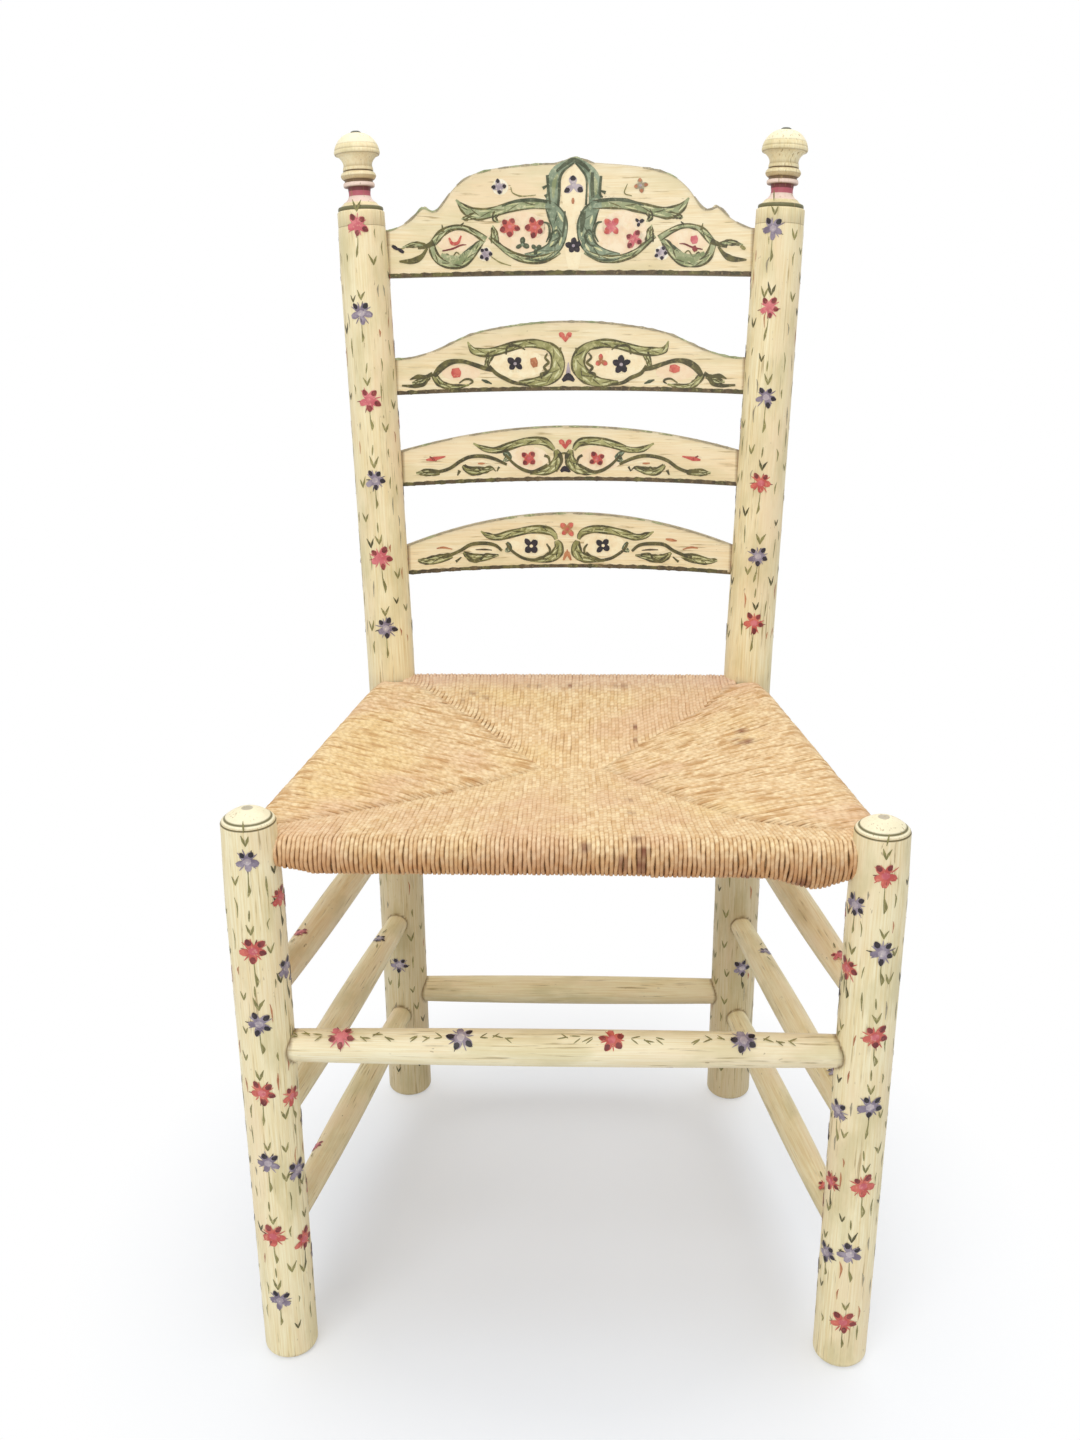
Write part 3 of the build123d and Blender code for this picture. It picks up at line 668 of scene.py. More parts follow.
# the slats' painted scrolls, drawn on the left half in mm and mirrored about "middle"
def scrollLeaf(board, line, widths, fill, edge="olive"):
    paint(board, fill, line, widths, 0.14, across=5)
    fine, w, side = brushLine(line, widths, 5)
    for sign in (-1, 1):
        rim = fine + side * (sign * (w / 2 - 0.2))[:, None]
        press = [1.4 * dice.uniform(0.3, 1.7) for _ in range(9)]
        paint(board, edge, rim[::3], [0.4, *press, 0.4], 0.28, steps=4)
    for number, t in enumerate((0.16, 0.3, 0.42, 0.54, 0.66, 0.78)):   # veins, and paler strokes between them
        i = int(len(fine) * t)
        j = min(len(fine) - 1, i + max(4, len(fine) // 9))
        turned = 1 if number % 2 else -1
        if w[i] > 4.2:
            vein = [fine[i] - side[i] * w[i] * 0.12 * turned,
                    (fine[i] + fine[j]) / 2 + side[j] * w[j] * 0.08 * turned,
                    fine[j] + side[j] * w[j] * 0.34 * turned]
            paint(board, edge, vein, [0.3, dice.uniform(0.6, 1.3), 0.3], 0.24)
        if w[i] > 3.4:
            pale = [fine[i] - side[i] * w[i] * 0.2 * turned, fine[j] - side[j] * w[j] * 0.26 * turned]
            paint(board, "paleLeaf", pale, [0.4, w[i] * 0.2, 0.4], 0.2, steps=3)


def ovalField(board, u, v, halfWide, halfTall, brush):
    line = [(u - halfWide * math.cos(t * math.pi / 12), v) for t in range(13)]
    tall = [2 * halfTall * max(0.02, math.sin(t * math.pi / 12)) for t in range(13)]
    paint(board, brush, line, tall, 0.06, across=9, steps=3)


def blossom(on, u, v, size, brush, tip, heart="lilac", petals=4, turn=45.0, tips=None, hairs=0, plump=0.37,
            halo=True):
    if halo and brush in ("lilac", "ink", "pink", "coral"):
        ovalField(on, u + dice.uniform(-1, 1), v, size * 0.58, size * 0.56, "halo")

    def away(reach, angle):
        return u + reach * math.cos(angle), v + reach * math.sin(angle)
    for k in range(petals):
        a = math.radians(turn + 360 * k / petals + dice.uniform(-9, 9))
        reach = size * dice.uniform(0.44, 0.56)
        wide = size * plump * dice.uniform(0.86, 1.14)
        paint(on, brush, [away(0.05 * size, a), away(reach * 0.6, a + 0.05), away(reach, a)],
              [wide * 0.6, wide, wide, wide * 0.5], 0.36)
        if tips is None or k in tips:
            paint(on, tip, [away(reach * 0.5, a + 0.08), away(reach * 0.8, a), away(reach * 1.06, a)],
                  [wide * 0.35, wide * 0.8, wide * 0.6, wide * 0.2], 0.46)
    for k in range(hairs):
        a = math.radians(turn + 360 * (k + 0.5) / hairs + dice.uniform(-12, 12))
        hair = [away(0.25 * size, a), away(size * dice.uniform(0.45, 0.62), a)]
        paint(on, tip if k % 2 else brush, hair, [0.9, 1.1, 0.3], 0.33, steps=3)
    paint(on, heart, [(u - 0.1 * size, v), (u + 0.1 * size, v)], [0.1 * size, 0.22 * size, 0.1 * size], 0.5)


scrollArt = {
    "crest_slat": {"middle": 2.0, "strokes": [
        ("sage", [(-18, 414), (-12, 405), (-9, 395), (-11, 385), (-16, 377), (-27, 372), (-40, 371)],
         [9, 15, 14, 13, 12, 10, 5]),
        ("leafy", [(-16, 414), (-30, 415), (-45, 414), (-58, 411), (-72, 407), (-84, 406.5), (-93, 411),
                   (-99.5, 418)], [7, 8, 8.5, 8, 8, 10, 6, 1.5]),
        ("leafy", [(-83, 405), (-90, 403), (-95, 402)], [5, 4, 1]),
        ("leafy", [(-64, 408), (-66.5, 403), (-63, 399.5)], [5, 4, 1]),
        ("pine", [(-20, 417), (-33, 418.5), (-48, 417.2), (-60, 413)], [2.5, 3.2, 2.6, 1]),
        ("pine", [(-17, 389), (-12, 393), (-9, 388), (-12, 382), (-17, 379)], [1, 2, 2, 2, 1]),
        ("pine", [(-24, 400), (-19, 398), (-18, 390), (-21, 383)], [1, 2.2, 2.2, 1]),
        ("leafy", [(-71, 387), (-62, 380), (-54, 374), (-45, 370), (-33, 368), (-20, 370), (-9, 375)],
         [2.5, 3.5, 5, 5.5, 6, 6, 4]),
        ("leafy", [(-66, 382), (-66.5, 390), (-68, 397)], [7, 6, 1]),
        ("leafy", [(-74, 385), (-84, 391), (-95, 395), (-106, 393.5), (-114, 388), (-121, 380)],
         [5.5, 4.5, 3.5, 4, 6, 6]),
        ("leafy", [(-121, 380), (-119, 372), (-113, 365.5), (-103, 363), (-94, 365), (-87, 372), (-81, 380),
                   (-75, 385)], [5, 6, 6, 5, 6, 7, 6, 3]),
        ("leaf", [(-113, 372), (-104, 368), (-96, 369), (-88, 376)], [3, 7, 7, 2]),
        ("olive", [(-117, 373), (-112, 369), (-108, 372.5), (-104, 369), (-100, 374), (-97, 372)],
         [1, 1.2, 1]),
        ("pine", [(-98, 369), (-91, 375), (-84, 381)], [1, 2.6, 2.2, 1]),
        ("wine", [(-112, 375), (-103, 377), (-96, 380), (-91, 380.5)], [1, 1.6, 1.4, 0.6]),
        ("olive", [(-119, 382), (-126, 378.5), (-133, 377)], [5, 3.5, 2]),
        ("leafy", [(-125, 378.5), (-135, 380), (-146, 377.5)], [2, 5, 1]),
        ("olive", [(-125, 377), (-130, 370), (-138, 366), (-149, 365.5)], [2, 3.2, 5.5, 4.5, 1.5]),
        ("olive", [(-111, 391), (-112, 397)], [2.5, 0.6]),
        ("olive", [(-96, 396), (-93, 399)], [2.5, 0.6]),
    ], "fields": [(-42, 390, 22, 19, "blush"), (-100, 383.5, 18, 9, "blush")]},
    "upper_slat": {"middle": -1.5, "strokes": [
        ("leafy", [(-20, 294), (-30, 296.5), (-42, 296), (-55, 293), (-68, 289.5), (-80, 289), (-87, 291),
                   (-91, 298)], [7, 7, 6.5, 7, 7, 7, 5, 1.2]),
        ("leafy", [(-70, 288), (-73, 282), (-75, 275)], [6, 4.5, 3]),
        ("leafy", [(-24, 296), (-14, 290), (-10.5, 280), (-13, 271), (-22, 264.5), (-34, 262.5),
                   (-46, 262.5)], [6, 9, 12, 12, 10, 7, 3]),
        ("olive", [(-20, 288), (-22, 284), (-19, 280), (-23, 276), (-21, 272), (-26, 270), (-25, 266)],
         [1.5, 2.4, 2.4, 1.5]),
        ("olive", [(-57, 287), (-56, 293), (-50, 295), (-43, 293), (-40, 291)], [1.5, 2.4, 2, 1]),
        ("olive", [(-72, 277), (-66, 270.5), (-58, 266), (-50, 262.5), (-38, 260.5)],
         [2.5, 3.4, 3.6, 3.2, 2]),
        ("olive", [(-68, 273), (-76, 275), (-85, 278), (-96, 281), (-107, 280), (-115, 275), (-121, 268)],
         [3, 4, 4, 3.4, 4, 6, 6, 4]),
        ("leafy", [(-121, 270), (-117, 263), (-109, 259.3), (-99, 259), (-90, 260.5)], [5, 6, 4.5, 3, 1.5]),
        ("olive", [(-99, 262), (-94, 265.2), (-89, 265.2), (-87, 263), (-90, 261)], [1, 2, 2, 1]),
        ("olive", [(-122, 270), (-128, 267.5), (-135, 267.5), (-142, 265)], [4, 3, 4, 1]),
        ("leafy", [(-125, 268), (-132, 263.5), (-140, 262)], [4, 6, 2]),
        ("olive", [(-126, 266), (-130, 261), (-138, 259.3), (-149, 259.8)], [2, 3.4, 3.4, 1.5]),
        ("pine", [(-79, 265), (-75, 263.5), (-70, 261.5)], [1, 3, 1]),
        ("olive", [(-9, 293), (-8.5, 288)], [3, 1]),
    ], "fields": [(-46, 279, 24, 12.5, "field"), (-97, 271, 17, 7, "blush")]},
    "middle_slat": {"middle": -5.5, "strokes": [
        ("leafy", [(-14, 203), (-20, 209), (-30, 211), (-42, 210), (-54, 206.5), (-66, 203), (-77, 204),
                   (-87, 209)], [3, 6, 6.5, 6.5, 6, 5, 4.5, 1.5]),
        ("leafy", [(-12.5, 203), (-10.5, 195), (-15, 187.5), (-24, 183.3), (-36, 182)],
         [4, 9, 9, 5.5, 2.5]),
        ("olive", [(-58, 199), (-53, 193), (-47, 188), (-40, 184.5), (-33, 183.5), (-25, 187), (-20, 190)],
         [2, 2.6, 3.2, 3, 2]),
        ("olive", [(-23, 198), (-19, 196), (-18, 189)], [2.5, 2.5, 1]),
        ("olive", [(-57, 190), (-68, 195), (-78, 197.5), (-90, 197), (-99, 193), (-108, 187), (-118, 184),
                   (-127, 184)], [2.4, 3.2, 3.4, 3.2, 3.2, 3, 3, 3]),
        ("leafy", [(-117, 183), (-127, 183.5), (-138, 183)], [3, 6.5, 2]),
        ("sage", [(-60, 201), (-55, 197), (-60, 193)], [2, 6, 2]),
        ("leafy", [(-97, 189), (-90, 184.5), (-80, 184.7), (-69, 187)], [2, 7, 6.5, 2]),
        ("olive", [(-95, 190), (-88, 186), (-84, 187.5), (-80, 186), (-72, 188.5), (-67, 184)],
         [1.4, 2, 1.6, 1]),
        ("field", [(-90, 191.5), (-80, 193.3), (-68, 190.5)], [1, 2.6, 1]),
        ("olive", [(-99.5, 185), (-101.5, 180.5)], [3, 1]),
        ("olive", [(-64, 188), (-66, 184)], [2, 1]),
        ("olive", [(-10, 199), (-7.5, 192), (-12, 183.5)], [2.4, 2, 1.6]),
        ("coral", [(-129, 194.5), (-122, 195.5), (-112, 197.5)], [1.5, 4, 1]),
        ("wine", [(-126, 197.5), (-120, 193.5)], [1, 2, 1]),
        ("rust", [(-83, 191), (-77, 191)], [1, 2, 1]),
    ], "fields": [(-39, 195.5, 20, 11, "blush")]},
    "lower_slat": {"middle": -2.0, "strokes": [
        ("leafy", [(-12, 122), (-16, 128.5), (-28, 131.3), (-42, 130), (-55, 127), (-66, 124.5), (-75, 126),
                   (-81, 130)], [3, 6, 6.5, 6.5, 6.5, 5.5, 4.5, 1.2]),
        ("leafy", [(-12, 121), (-9.5, 114), (-14, 107), (-24, 103.6), (-36, 102.8)], [4, 9, 9, 5.5, 2.5]),
        ("olive", [(-58, 119), (-54, 113), (-48, 108), (-41, 104.5), (-32, 103.4), (-24, 106), (-19, 110)],
         [2, 2.6, 2.8, 2.6, 2]),
        ("olive", [(-21, 118), (-18, 113), (-19, 108)], [1.4, 2.4, 1]),
        ("olive", [(-62, 112), (-68, 117), (-78, 119), (-90, 118), (-99, 113), (-108, 109), (-116, 106.5)],
         [2.4, 3, 3.4, 3.4, 3, 3, 3]),
        ("leafy", [(-107, 108), (-119, 105.5), (-130, 103.6), (-138, 104.6)], [4, 8, 6, 2]),
        ("sage", [(-57, 120), (-55, 114), (-59, 111)], [1, 5, 2]),
        ("leafy", [(-97, 111), (-90, 106), (-80, 105.7), (-65, 108)], [2, 7.5, 6.5, 1.5]),
        ("olive", [(-95, 109.5), (-88, 103.5), (-81, 105), (-77, 109), (-70, 108.5)], [1.6, 2.6, 2, 1.4]),
        ("brown", [(-86, 113.2), (-78, 113.3), (-71, 112.6)], [0.8, 1.6, 0.8]),
        ("olive", [(-104, 102.5), (-99, 106.5)], [2.4, 1]),
        ("rust", [(-121, 115), (-115, 115.7), (-107, 114)], [1, 2, 0.8]),
    ], "fields": [(-36, 117, 19, 10.5, "field"), (-79, 113.2, 13, 2.6, "field")]},
}


def paintScrolls(slatName):
    art = scrollArt[slatName]
    board = onSlat(slatName)
    leafBrush = "leaf" if slatName == "crest_slat" else "moss"
    for side in (1, -1):
        def flip(x):
            return x if side == 1 else 2 * art["middle"] - x
        for u, v, halfWide, halfTall, brush in art["fields"]:
            ovalField(board, flip(u), v, halfWide, halfTall, brush)
        nudge = 0.0 if side == 1 else 0.7
        for brush, line, widths in art["strokes"]:
            drawn = [(flip(x) + dice.uniform(-nudge, nudge), y + dice.uniform(-nudge, nudge) * 0.6)
                     for x, y in line]
            if brush == "leafy":
                scrollLeaf(board, drawn, widths, leafBrush)
            elif brush == "sage":
                scrollLeaf(board, drawn, widths, "sage", "pine")
            else:
                paint(board, brush, drawn, widths, 0.32)
    s = slats[slatName]
    face = s["half"] - slatBuild["letIn"] - 2
    xs = np.arange(-face - 4, face + 4, 3.0)
    tops = slatTop(s, xs)
    for i in range(0, len(xs) - 4, 3):   # a soft grey line along the upper edge, rubbed through in places
        if dice.random() < 0.8:
            rim = [(xs[k], tops[k] - 0.9) for k in range(i, i + 5, 2)]
            brush = "grey" if dice.random() < 0.7 else "leaf"
            paint(board, brush, rim, [0.8, dice.uniform(1.2, 2.4), 0.8], 0.1, steps=3)
    for x in np.arange(-face, face - 6, 9):   # the worn dark line along the lower edge
        low = s["bottom"] + slatBuild["arch"] * (1 - (x / face) ** 2)
        brush = "brown" if dice.random() < 0.6 else "olive"
        paint(board, brush, [(x, low + 1.9), (x + 5, low + 2.1), (x + 10.5, low + 1.9)],
              [3.0, dice.uniform(2.6, 4.6), dice.uniform(2.6, 4.2), 3.0], 0.1, steps=3)


def heartAt(board, u, v, brush):
    for sign in (-1, 1):
        half = [(u + sign * 5.5, v + 1.5), (u + sign * 2.8, v + 1.8), (u, v - 4)]
        paint(board, brush, half, [3.2, 4.6, 3.6, 1], 0.4)


for slatName in slats:
    paintScrolls(slatName)

crest = onSlat("crest_slat")
for line in ([(-16, 411), (-15.5, 425), (-14.5, 436), (-9.5, 444), (3, 451.3)],
             [(22, 411), (21.5, 425), (20.5, 436), (15, 444), (5, 451.3)]):
    paint(crest, "sage", line, [12, 10, 11, 9, 5], 0.16)
paint(crest, "field", [(3, 406), (3, 418), (3.2, 430), (4, 440), (4.6, 447.5)],
      [14, 20, 22, 15, 1.5], 0.2, across=7)
paint(crest, "field", [(3, 408), (1.2, 400), (1.5, 391), (2.6, 382), (3, 372), (3, 360)],
      [8, 6, 7.5, 15, 14, 9], 0.22, across=5)
for line, widths in (   # the dark lines round the crown's arch
        ([(-20, 439), (-19, 426), (-17.5, 415)], [2.6, 2.2, 1.5]),
        ([(-10.5, 413), (-9.5, 425), (-9, 436), (-5, 443), (3.5, 449)], [2.2, 2.4, 2.6, 2, 1.4]),
        ([(19.5, 441), (19.2, 430), (19.8, 420)], [2.6, 3.6, 3]),
        ([(27, 438), (26, 424), (28.5, 420)], [2.2, 2.6, 1.6]),
        ([(14, 414), (14.5, 428), (14, 437), (10, 443), (4.5, 449)], [2, 1.6, 2, 2, 1.4]),
        ([(11.5, 409), (11, 400), (10, 391)], [5, 4.5, 2]),
        ([(-12, 442), (-5, 447.5), (3, 451.5), (12, 447), (17, 442)], [2, 3.4, 3.6, 3.4, 2]),
        ([(-4.5, 409), (-5, 398), (-7, 387)], [1.4, 2.2, 1.5]),
        ([(-22, 421), (-18, 424)], [3.4, 1]),
        ([(-24, 428), (-19, 431)], [3, 1]),
        ([(31, 424), (26, 426)], [3, 1])):
    paint(crest, "pine", line, widths, 0.34)
for line in ([(-15, 420), (-14, 432), (-11, 440)], [(22.5, 422), (22, 433), (17.5, 441)]):
    paint(crest, "leaf", line, [1.5, 4, 1.5], 0.3)
blossom(crest, 3, 430.5, 17, "lilac", "ink", petals=3, turn=90)
paint(crest, "rust", [(2.5, 420), (2.5, 415)], [1.5, 3, 1.5], 0.4)
for u, v, size, brush, tip, heart, petals, turn in (
        (3, 380, 13, "ink", "ink", "lilac", 5, 90), (-53, 396, 16, "coral", "wine", "pink", 5, 60),
        (-31, 395.5, 16.5, "coral", "wine", "pink", 5, 40), (37, 396, 16, "pink", "coral", "pink", 4, 45),
        (56, 385, 15, "pink", "wine", "pink", 4, 60), (60.5, 399, 8, "ink", "ink", "lilac", 3, 20),
        (-42, 381, 11, "pine", "pine", "sage", 3, 90), (-30, 377.5, 9, "pine", "pine", "sage", 3, 20),
        (-74.5, 373, 11, "lilac", "ink", "lilac", 5, 70), (80, 373, 11, "lilac", "ink", "lilac", 5, 70),
        (-62, 429, 12, "lilac", "ink", "lilac", 4, 100), (61.5, 429.5, 11, "grey", "rust", "lilac", 4, 100)):
    blossom(crest, u, v, size, brush, tip, heart, petals, turn)
for brush, line, widths, lift in (
        ("coral", [(-106, 386), (-103.5, 381.5), (-98.5, 382), (-95.5, 388)], [1.6, 2.8, 2.8, 1.2], 0.4),
        ("pink", [(108, 386.5), (109, 380)], [5, 7, 4], 0.4),
        ("wine", [(108, 378), (110, 373.5)], [3, 4.5, 3], 0.4),
        ("ink", [(-155, 378.5), (-150, 375.5)], [2, 3.4, 2], 0.4),
        ("ink", [(-150, 376), (-145, 373)], [2, 3.4, 2], 0.4),
        ("stem", [(148, 377), (152, 374)], [2, 3.4, 2], 0.4),
        ("stem", [(-52, 429), (-50, 424), (-42, 421.5), (-30, 422.5)], [0.6, 1.2, 0.6], 0.3),
        ("stem", [(50, 431), (47.5, 423.5), (54, 421)], [0.6, 1.2, 0.6], 0.3),
        ("stem", [(-70, 371), (-62, 366), (-52, 363)], [0.6, 1.2, 0.6], 0.3),
        ("stem", [(-150, 375.5), (-144, 377)], [0.6, 1.2, 0.6], 0.3)):
    paint(crest, brush, line, widths, lift)

upper = onSlat("upper_slat")
heartAt(upper, -4, 302, "coral")
blossom(upper, -49, 279, 14, "ink", "ink")
blossom(upper, 46, 278, 15, "ink", "ink", petals=5, turn=90)
paint(upper, "rust", [(-33, 284), (-31, 276)], [5, 7, 4], 0.4)
blossom(upper, 28, 281, 11, "rust", "coral", "rust", petals=3, turn=90)
paint(upper, "coral", [(-102, 275), (-101, 267)], [6, 9.5, 6], 0.4)
paint(upper, "coral", [(89, 274.5), (98, 273.5)], [5, 8, 4], 0.4)
paint(upper, "ink", [(-6.5, 264), (-1.3, 267.5), (4, 264)], [2.5, 7, 2.5], 0.4)
paint(upper, "lilac", [(-1.3, 270.5), (-1.3, 280)], [4.5, 0.8], 0.36)

middle = onSlat("middle_slat")
heartAt(middle, -4, 208, "coral")
blossom(middle, -37, 195.5, 14, "coral", "wine", "pink")
blossom(middle, 25, 195, 14, "coral", "wine", "pink", turn=30)
paint(middle, "olive", [(-11, 199), (-5, 200), (1, 199)], [1, 2, 1], 0.3)
paint(middle, "ink", [(-8, 183.5), (-4.5, 186), (0, 183.5)], [2, 5.5, 2], 0.4)

lower = onSlat("lower_slat")
blossom(lower, -2, 131.5, 14, "rust", "coral", "coral")
paint(lower, "rust", [(-5.5, 103), (-2, 109.5), (1.5, 103)], [1.5, 4.5, 1.5], 0.4)
paint(lower, "rust", [(-2, 109), (-2, 113)], [2.5, 0.8], 0.4)
blossom(lower, -35, 116, 15, "ink", "ink", "field")
blossom(lower, 31, 116.5, 14, "ink", "ink", "field", turn=52)
paint(lower, "rust", [(88, 123), (98, 121.5)], [1.5, 3, 1], 0.4)
print("slats painted")


# flowers up the posts: mm along the post, degrees round it from the front, which paint
leanStart = 447.8
postFlowers = {
    "rear_left": [(393.5, -2.5, "p"), (321, -7, "b"), (247.4, -2.3, "p"), (178.2, -1, "b"), (109.2, 0.7, "p"),
                  (46, 1.3, "b")],
    "rear_right": [(388.8, -21.6, "b"), (323.4, -17.6, "p"), (248.9, -9.7, "b"), (175.2, -7, "r"),
                   (111.2, -1.6, "b"), (51.3, 0.5, "r")],
    "front_left": [(437.6, 5.6, "b"), (368.3, 2.4, "r"), (308.8, 1.7, "b"), (250.2, -4.4, "r"),
                   (188.4, -4.7, "b"), (121.1, -7.8, "r"), (59.8, -4.8, "b")],
    "front_right": [(430.5, 0.2, "r"), (371.1, 5.3, "b"), (303.3, 6, "r"), (244.3, 8.3, "b"),
                    (174.8, 8.1, "r"), (112.2, -6.6, "b"), (47, -9, "r")],
}
sideFlowers = {
    "front_left": [(404.2, 70, "r"), (347.1, 72, "b"), (241.3, 59, "r"), (175.1, 59, "b"), (110, 62, "r")],
    "front_right": [(403.8, -56, "b"), (352.6, -64, "r"), (234.3, -60, "b"), (170, -62, "r"),
                    (105, -60, "b")],
    "rear_left": [(153.2 - leanStart, -8, "b")], "rear_right": [(153 - leanStart, 16, "b")],
}
# petals, their tips and the heart
flowerPaints = {"p": ("pink", "wine", "pink"), "r": ("coral", "wine", "pink"),
                "b": ("violet", "ink", "lilac")}


def leafPair(on, u, v, size, brush="stem"):
    for sign in (-1, 1):
        tip = (u + sign * size * dice.uniform(0.28, 0.46), v + size * dice.uniform(0.8, 1.1))
        leaf = [(u, v), (u + sign * size * 0.16, v + size * 0.45), tip]
        paint(on, brush, leaf, [0.6, size * 0.24, 0.4], 0.2, steps=3)


def postFlower(on, u, v, size, kind):
    main, tip, heart = flowerPaints[kind]
    turn = 126 + dice.uniform(-14, 14)
    tips = (0, 4) if dice.random() < 0.4 else (0, 2, 3, 4)
    blossom(on, u, v, size, main, tip, heart, 5, turn, tips, 9, 0.29, False)
    paint(on, heart, [(u - size * 0.16, v - 0.5), (u + size * 0.16, v)],
          [size * 0.14, size * 0.34, size * 0.14], 0.4)


def fallenStem(on, u, v, length, brush="stem"):   # a thin stem under a flower, with a leaf at its end
    sway = dice.uniform(-2.5, 2.5)
    stem = [(u, v), (u + sway * 0.3, v - length * 0.6), (u + sway, v - length)]
    paint(on, brush, stem, [0.5, 0.9, 0.5], 0.2)
    leaf = [(u + sway * 0.4, v - length * 0.45), (u + sway + dice.uniform(0.5, 1.5), v - length * 0.8),
            (u + sway, v - length * 1.05)]
    paint(on, brush, leaf, [0.4, 2.2, 0.4], 0.22)


seatBand = (398, 470)   # the seat hides this stretch of the rear posts


def paintPost(name):
    front = name.startswith("front")
    radius, base = (frontPost["radius"], 0) if front else (backPost["radius"], leanStart)
    flowers = postFlowers[name]
    post = aroundPost(f"{name}_post", spines[name], radius, taper=tapers[name])

    def arc(degrees):
        return math.radians(degrees) * radius
    for along, degrees, kind in flowers:
        u, v = arc(degrees), base + along
        size = dice.uniform(16.5, 19) if kind == "b" else dice.uniform(17.5, 20)
        postFlower(post, u, v, size, kind)
        fallenStem(post, u, v - size * 0.45, dice.uniform(15, 22))
        leafPair(post, u + dice.uniform(-1, 1), v + size * 0.5 + dice.uniform(1, 3), dice.uniform(7.5, 11),
                 "stem" if dice.random() < 0.7 else "olive")
        if dice.random() < 0.6:
            bud = [(u - 1, v + size * 0.5 + 13), (u + dice.uniform(-2, 1), v + size * 0.5 + 22)]
            paint(post, "stem", bud, [0.4, 1.7, 0.4], 0.2, steps=3)
    backFlowers = [(flowers[0][0] - 30 - 62 * k - 20 * (d % 20) / 20, d, "rb"[(k + i) % 2])
                   for i, d in enumerate((110, 178, 250)) for k in range(7)]
    backFlowers = [f for f in backFlowers if (f[0] > 35 if front else f[0] > 25)]
    for along, degrees, kind in sideFlowers[name] + backFlowers:
        u, v = arc(degrees), base + along
        postFlower(post, u, v, dice.uniform(15.5, 18.5), kind)
        fallenStem(post, u, v - 8, dice.uniform(12, 18), dice.choice(("stem", "olive")))
    top = base + flowers[0][0] - 8
    for degrees in (-64, -32, 32, 62, 90, 145, 212, 275):   # sprigs all round
        v = 25 + dice.uniform(0, 16)
        while v < top:
            if seatBand[0] < v < seatBand[1] and not front:
                v += 20
                continue
            u = arc(degrees + dice.uniform(-9, 9))
            if dice.random() < 0.35:
                leafPair(post, u, v, dice.uniform(6, 9.5), dice.choice(("stem", "stem", "olive")))
            else:
                reach = dice.uniform(6, 17)
                brush = dice.choice(("stem", "stem", "grey", "rust"))
                line = [(u, v), (u + dice.uniform(-0.8, 0.8), v + reach * 0.6),
                        (u + dice.uniform(-1.6, 1.6), v + reach)]
                paint(post, brush, line, [0.3, dice.uniform(0.9, 2.0), 0.3], 0.2, steps=3)
            v += dice.uniform(19, 34)


for name in postFlowers:
    paintPost(name)

stickFlowers = {   # radius, degrees from the top, and the flowers: mm along, mm aside, which paint
    "front_stretcher": (13.4, 27, [(56.4, 0, "p"), (144.2, 0, "b"), (254.1, 2, "r"), (349.6, 0, "b")]),
    "left_upper_side_stretcher": (11.6, -11, [(87, 0, "p"), (178, 5, "b"), (262, -5, "r")]),
    "left_middle_side_stretcher": (11.6, -3, [(90, 0, "b"), (200, 5, "p"), (282, -5, "b")]),
    "left_lower_side_stretcher": (11.6, -40, [(101, 0, "p"), (194, 5, "b"), (280, 0, "r")]),
    "right_upper_side_stretcher": (11.6, -13, [(58, 0, "p"), (144, -5, "b"), (240, 5, "r")]),
    "right_middle_side_stretcher": (11.6, 14, [(62, 0, "b"), (152, -5, "r"), (264, 5, "b")]),
    "right_lower_side_stretcher": (11.6, -6, [(54.5, 0, "r"), (160, -5, "b"), (262, 0, "r")]),
}
for name, (radius, lean, flowers) in stickFlowers.items():
    stick = aroundPost(name, spines[name], radius, lean)
    front = name == "front_stretcher"
    for along, off, kind in flowers:
        postFlower(stick, off * 0.2, along, 19 if front else 12, kind)
        for side in (-1, 1):
            for k in range(3 if front else 1):
                v = along + side * (14 + 9 * k) if front else along + side * 11
                line = [(dice.uniform(-2, 2), v), (dice.uniform(-3, 3), v + side * dice.uniform(5, 8))]
                paint(stick, "stem", line, [0.5, 1.5, 0.4], 0.25, steps=3)
                if front:
                    line = [(0, v), (dice.choice((-4, 4)), v + side * 5)]
                    paint(stick, "stem", line, [0.5, 1.3, 0.3], 0.25, steps=3)
print("posts and stretchers painted")
hangPaint()


# heights are above the floor, onTop and onRoll are half the width and half the height of a strand there,
# and the roll thins out and tucks in beside the posts, and sags at the front right
seat = {"railHeight": 434.0, "coil": 12.4, "edgeTop": 446.9, "ridgeTop": 427.0, "edgeUnder": 421.6,
        "ridgeUnder": 415.6, "onTop": (2.15, 1.25), "onRoll": (1.7, 1.5), "postRise": 7.5, "riseLength": 30.0,
        "tuck": 3.4, "tuckLength": 20.0, "railTilt": math.radians(8.96), "pitch": 3.15, "topStep": 8,
        "underStep": 22, "sag": 8.5, "sagAt": 174, "sagWidth": 20, "rightSag": 1.3, "postEdge": 21,
        "sideRows": (15.5, 332.5)}
# each seam from its post to its end of the ridge
seams = {"frontLeft": [(-205, 20), (-167, 43), (-130, 71), (-95, 98), (-60, 131), (-20, 175)],
         "frontRight": [(202, 16), (165, 27), (130, 46), (105, 73), (73, 113), (29, 173)],
         "rearLeft": [(-147, 336), (-113, 299), (-82, 260), (-55, 221), (-20, 175)],
         "rearRight": [(147, 334), (115, 277), (89, 246), (55, 207), (29, 173)]}
seams = {name: softLine(points, 10) for name, points in seams.items()}
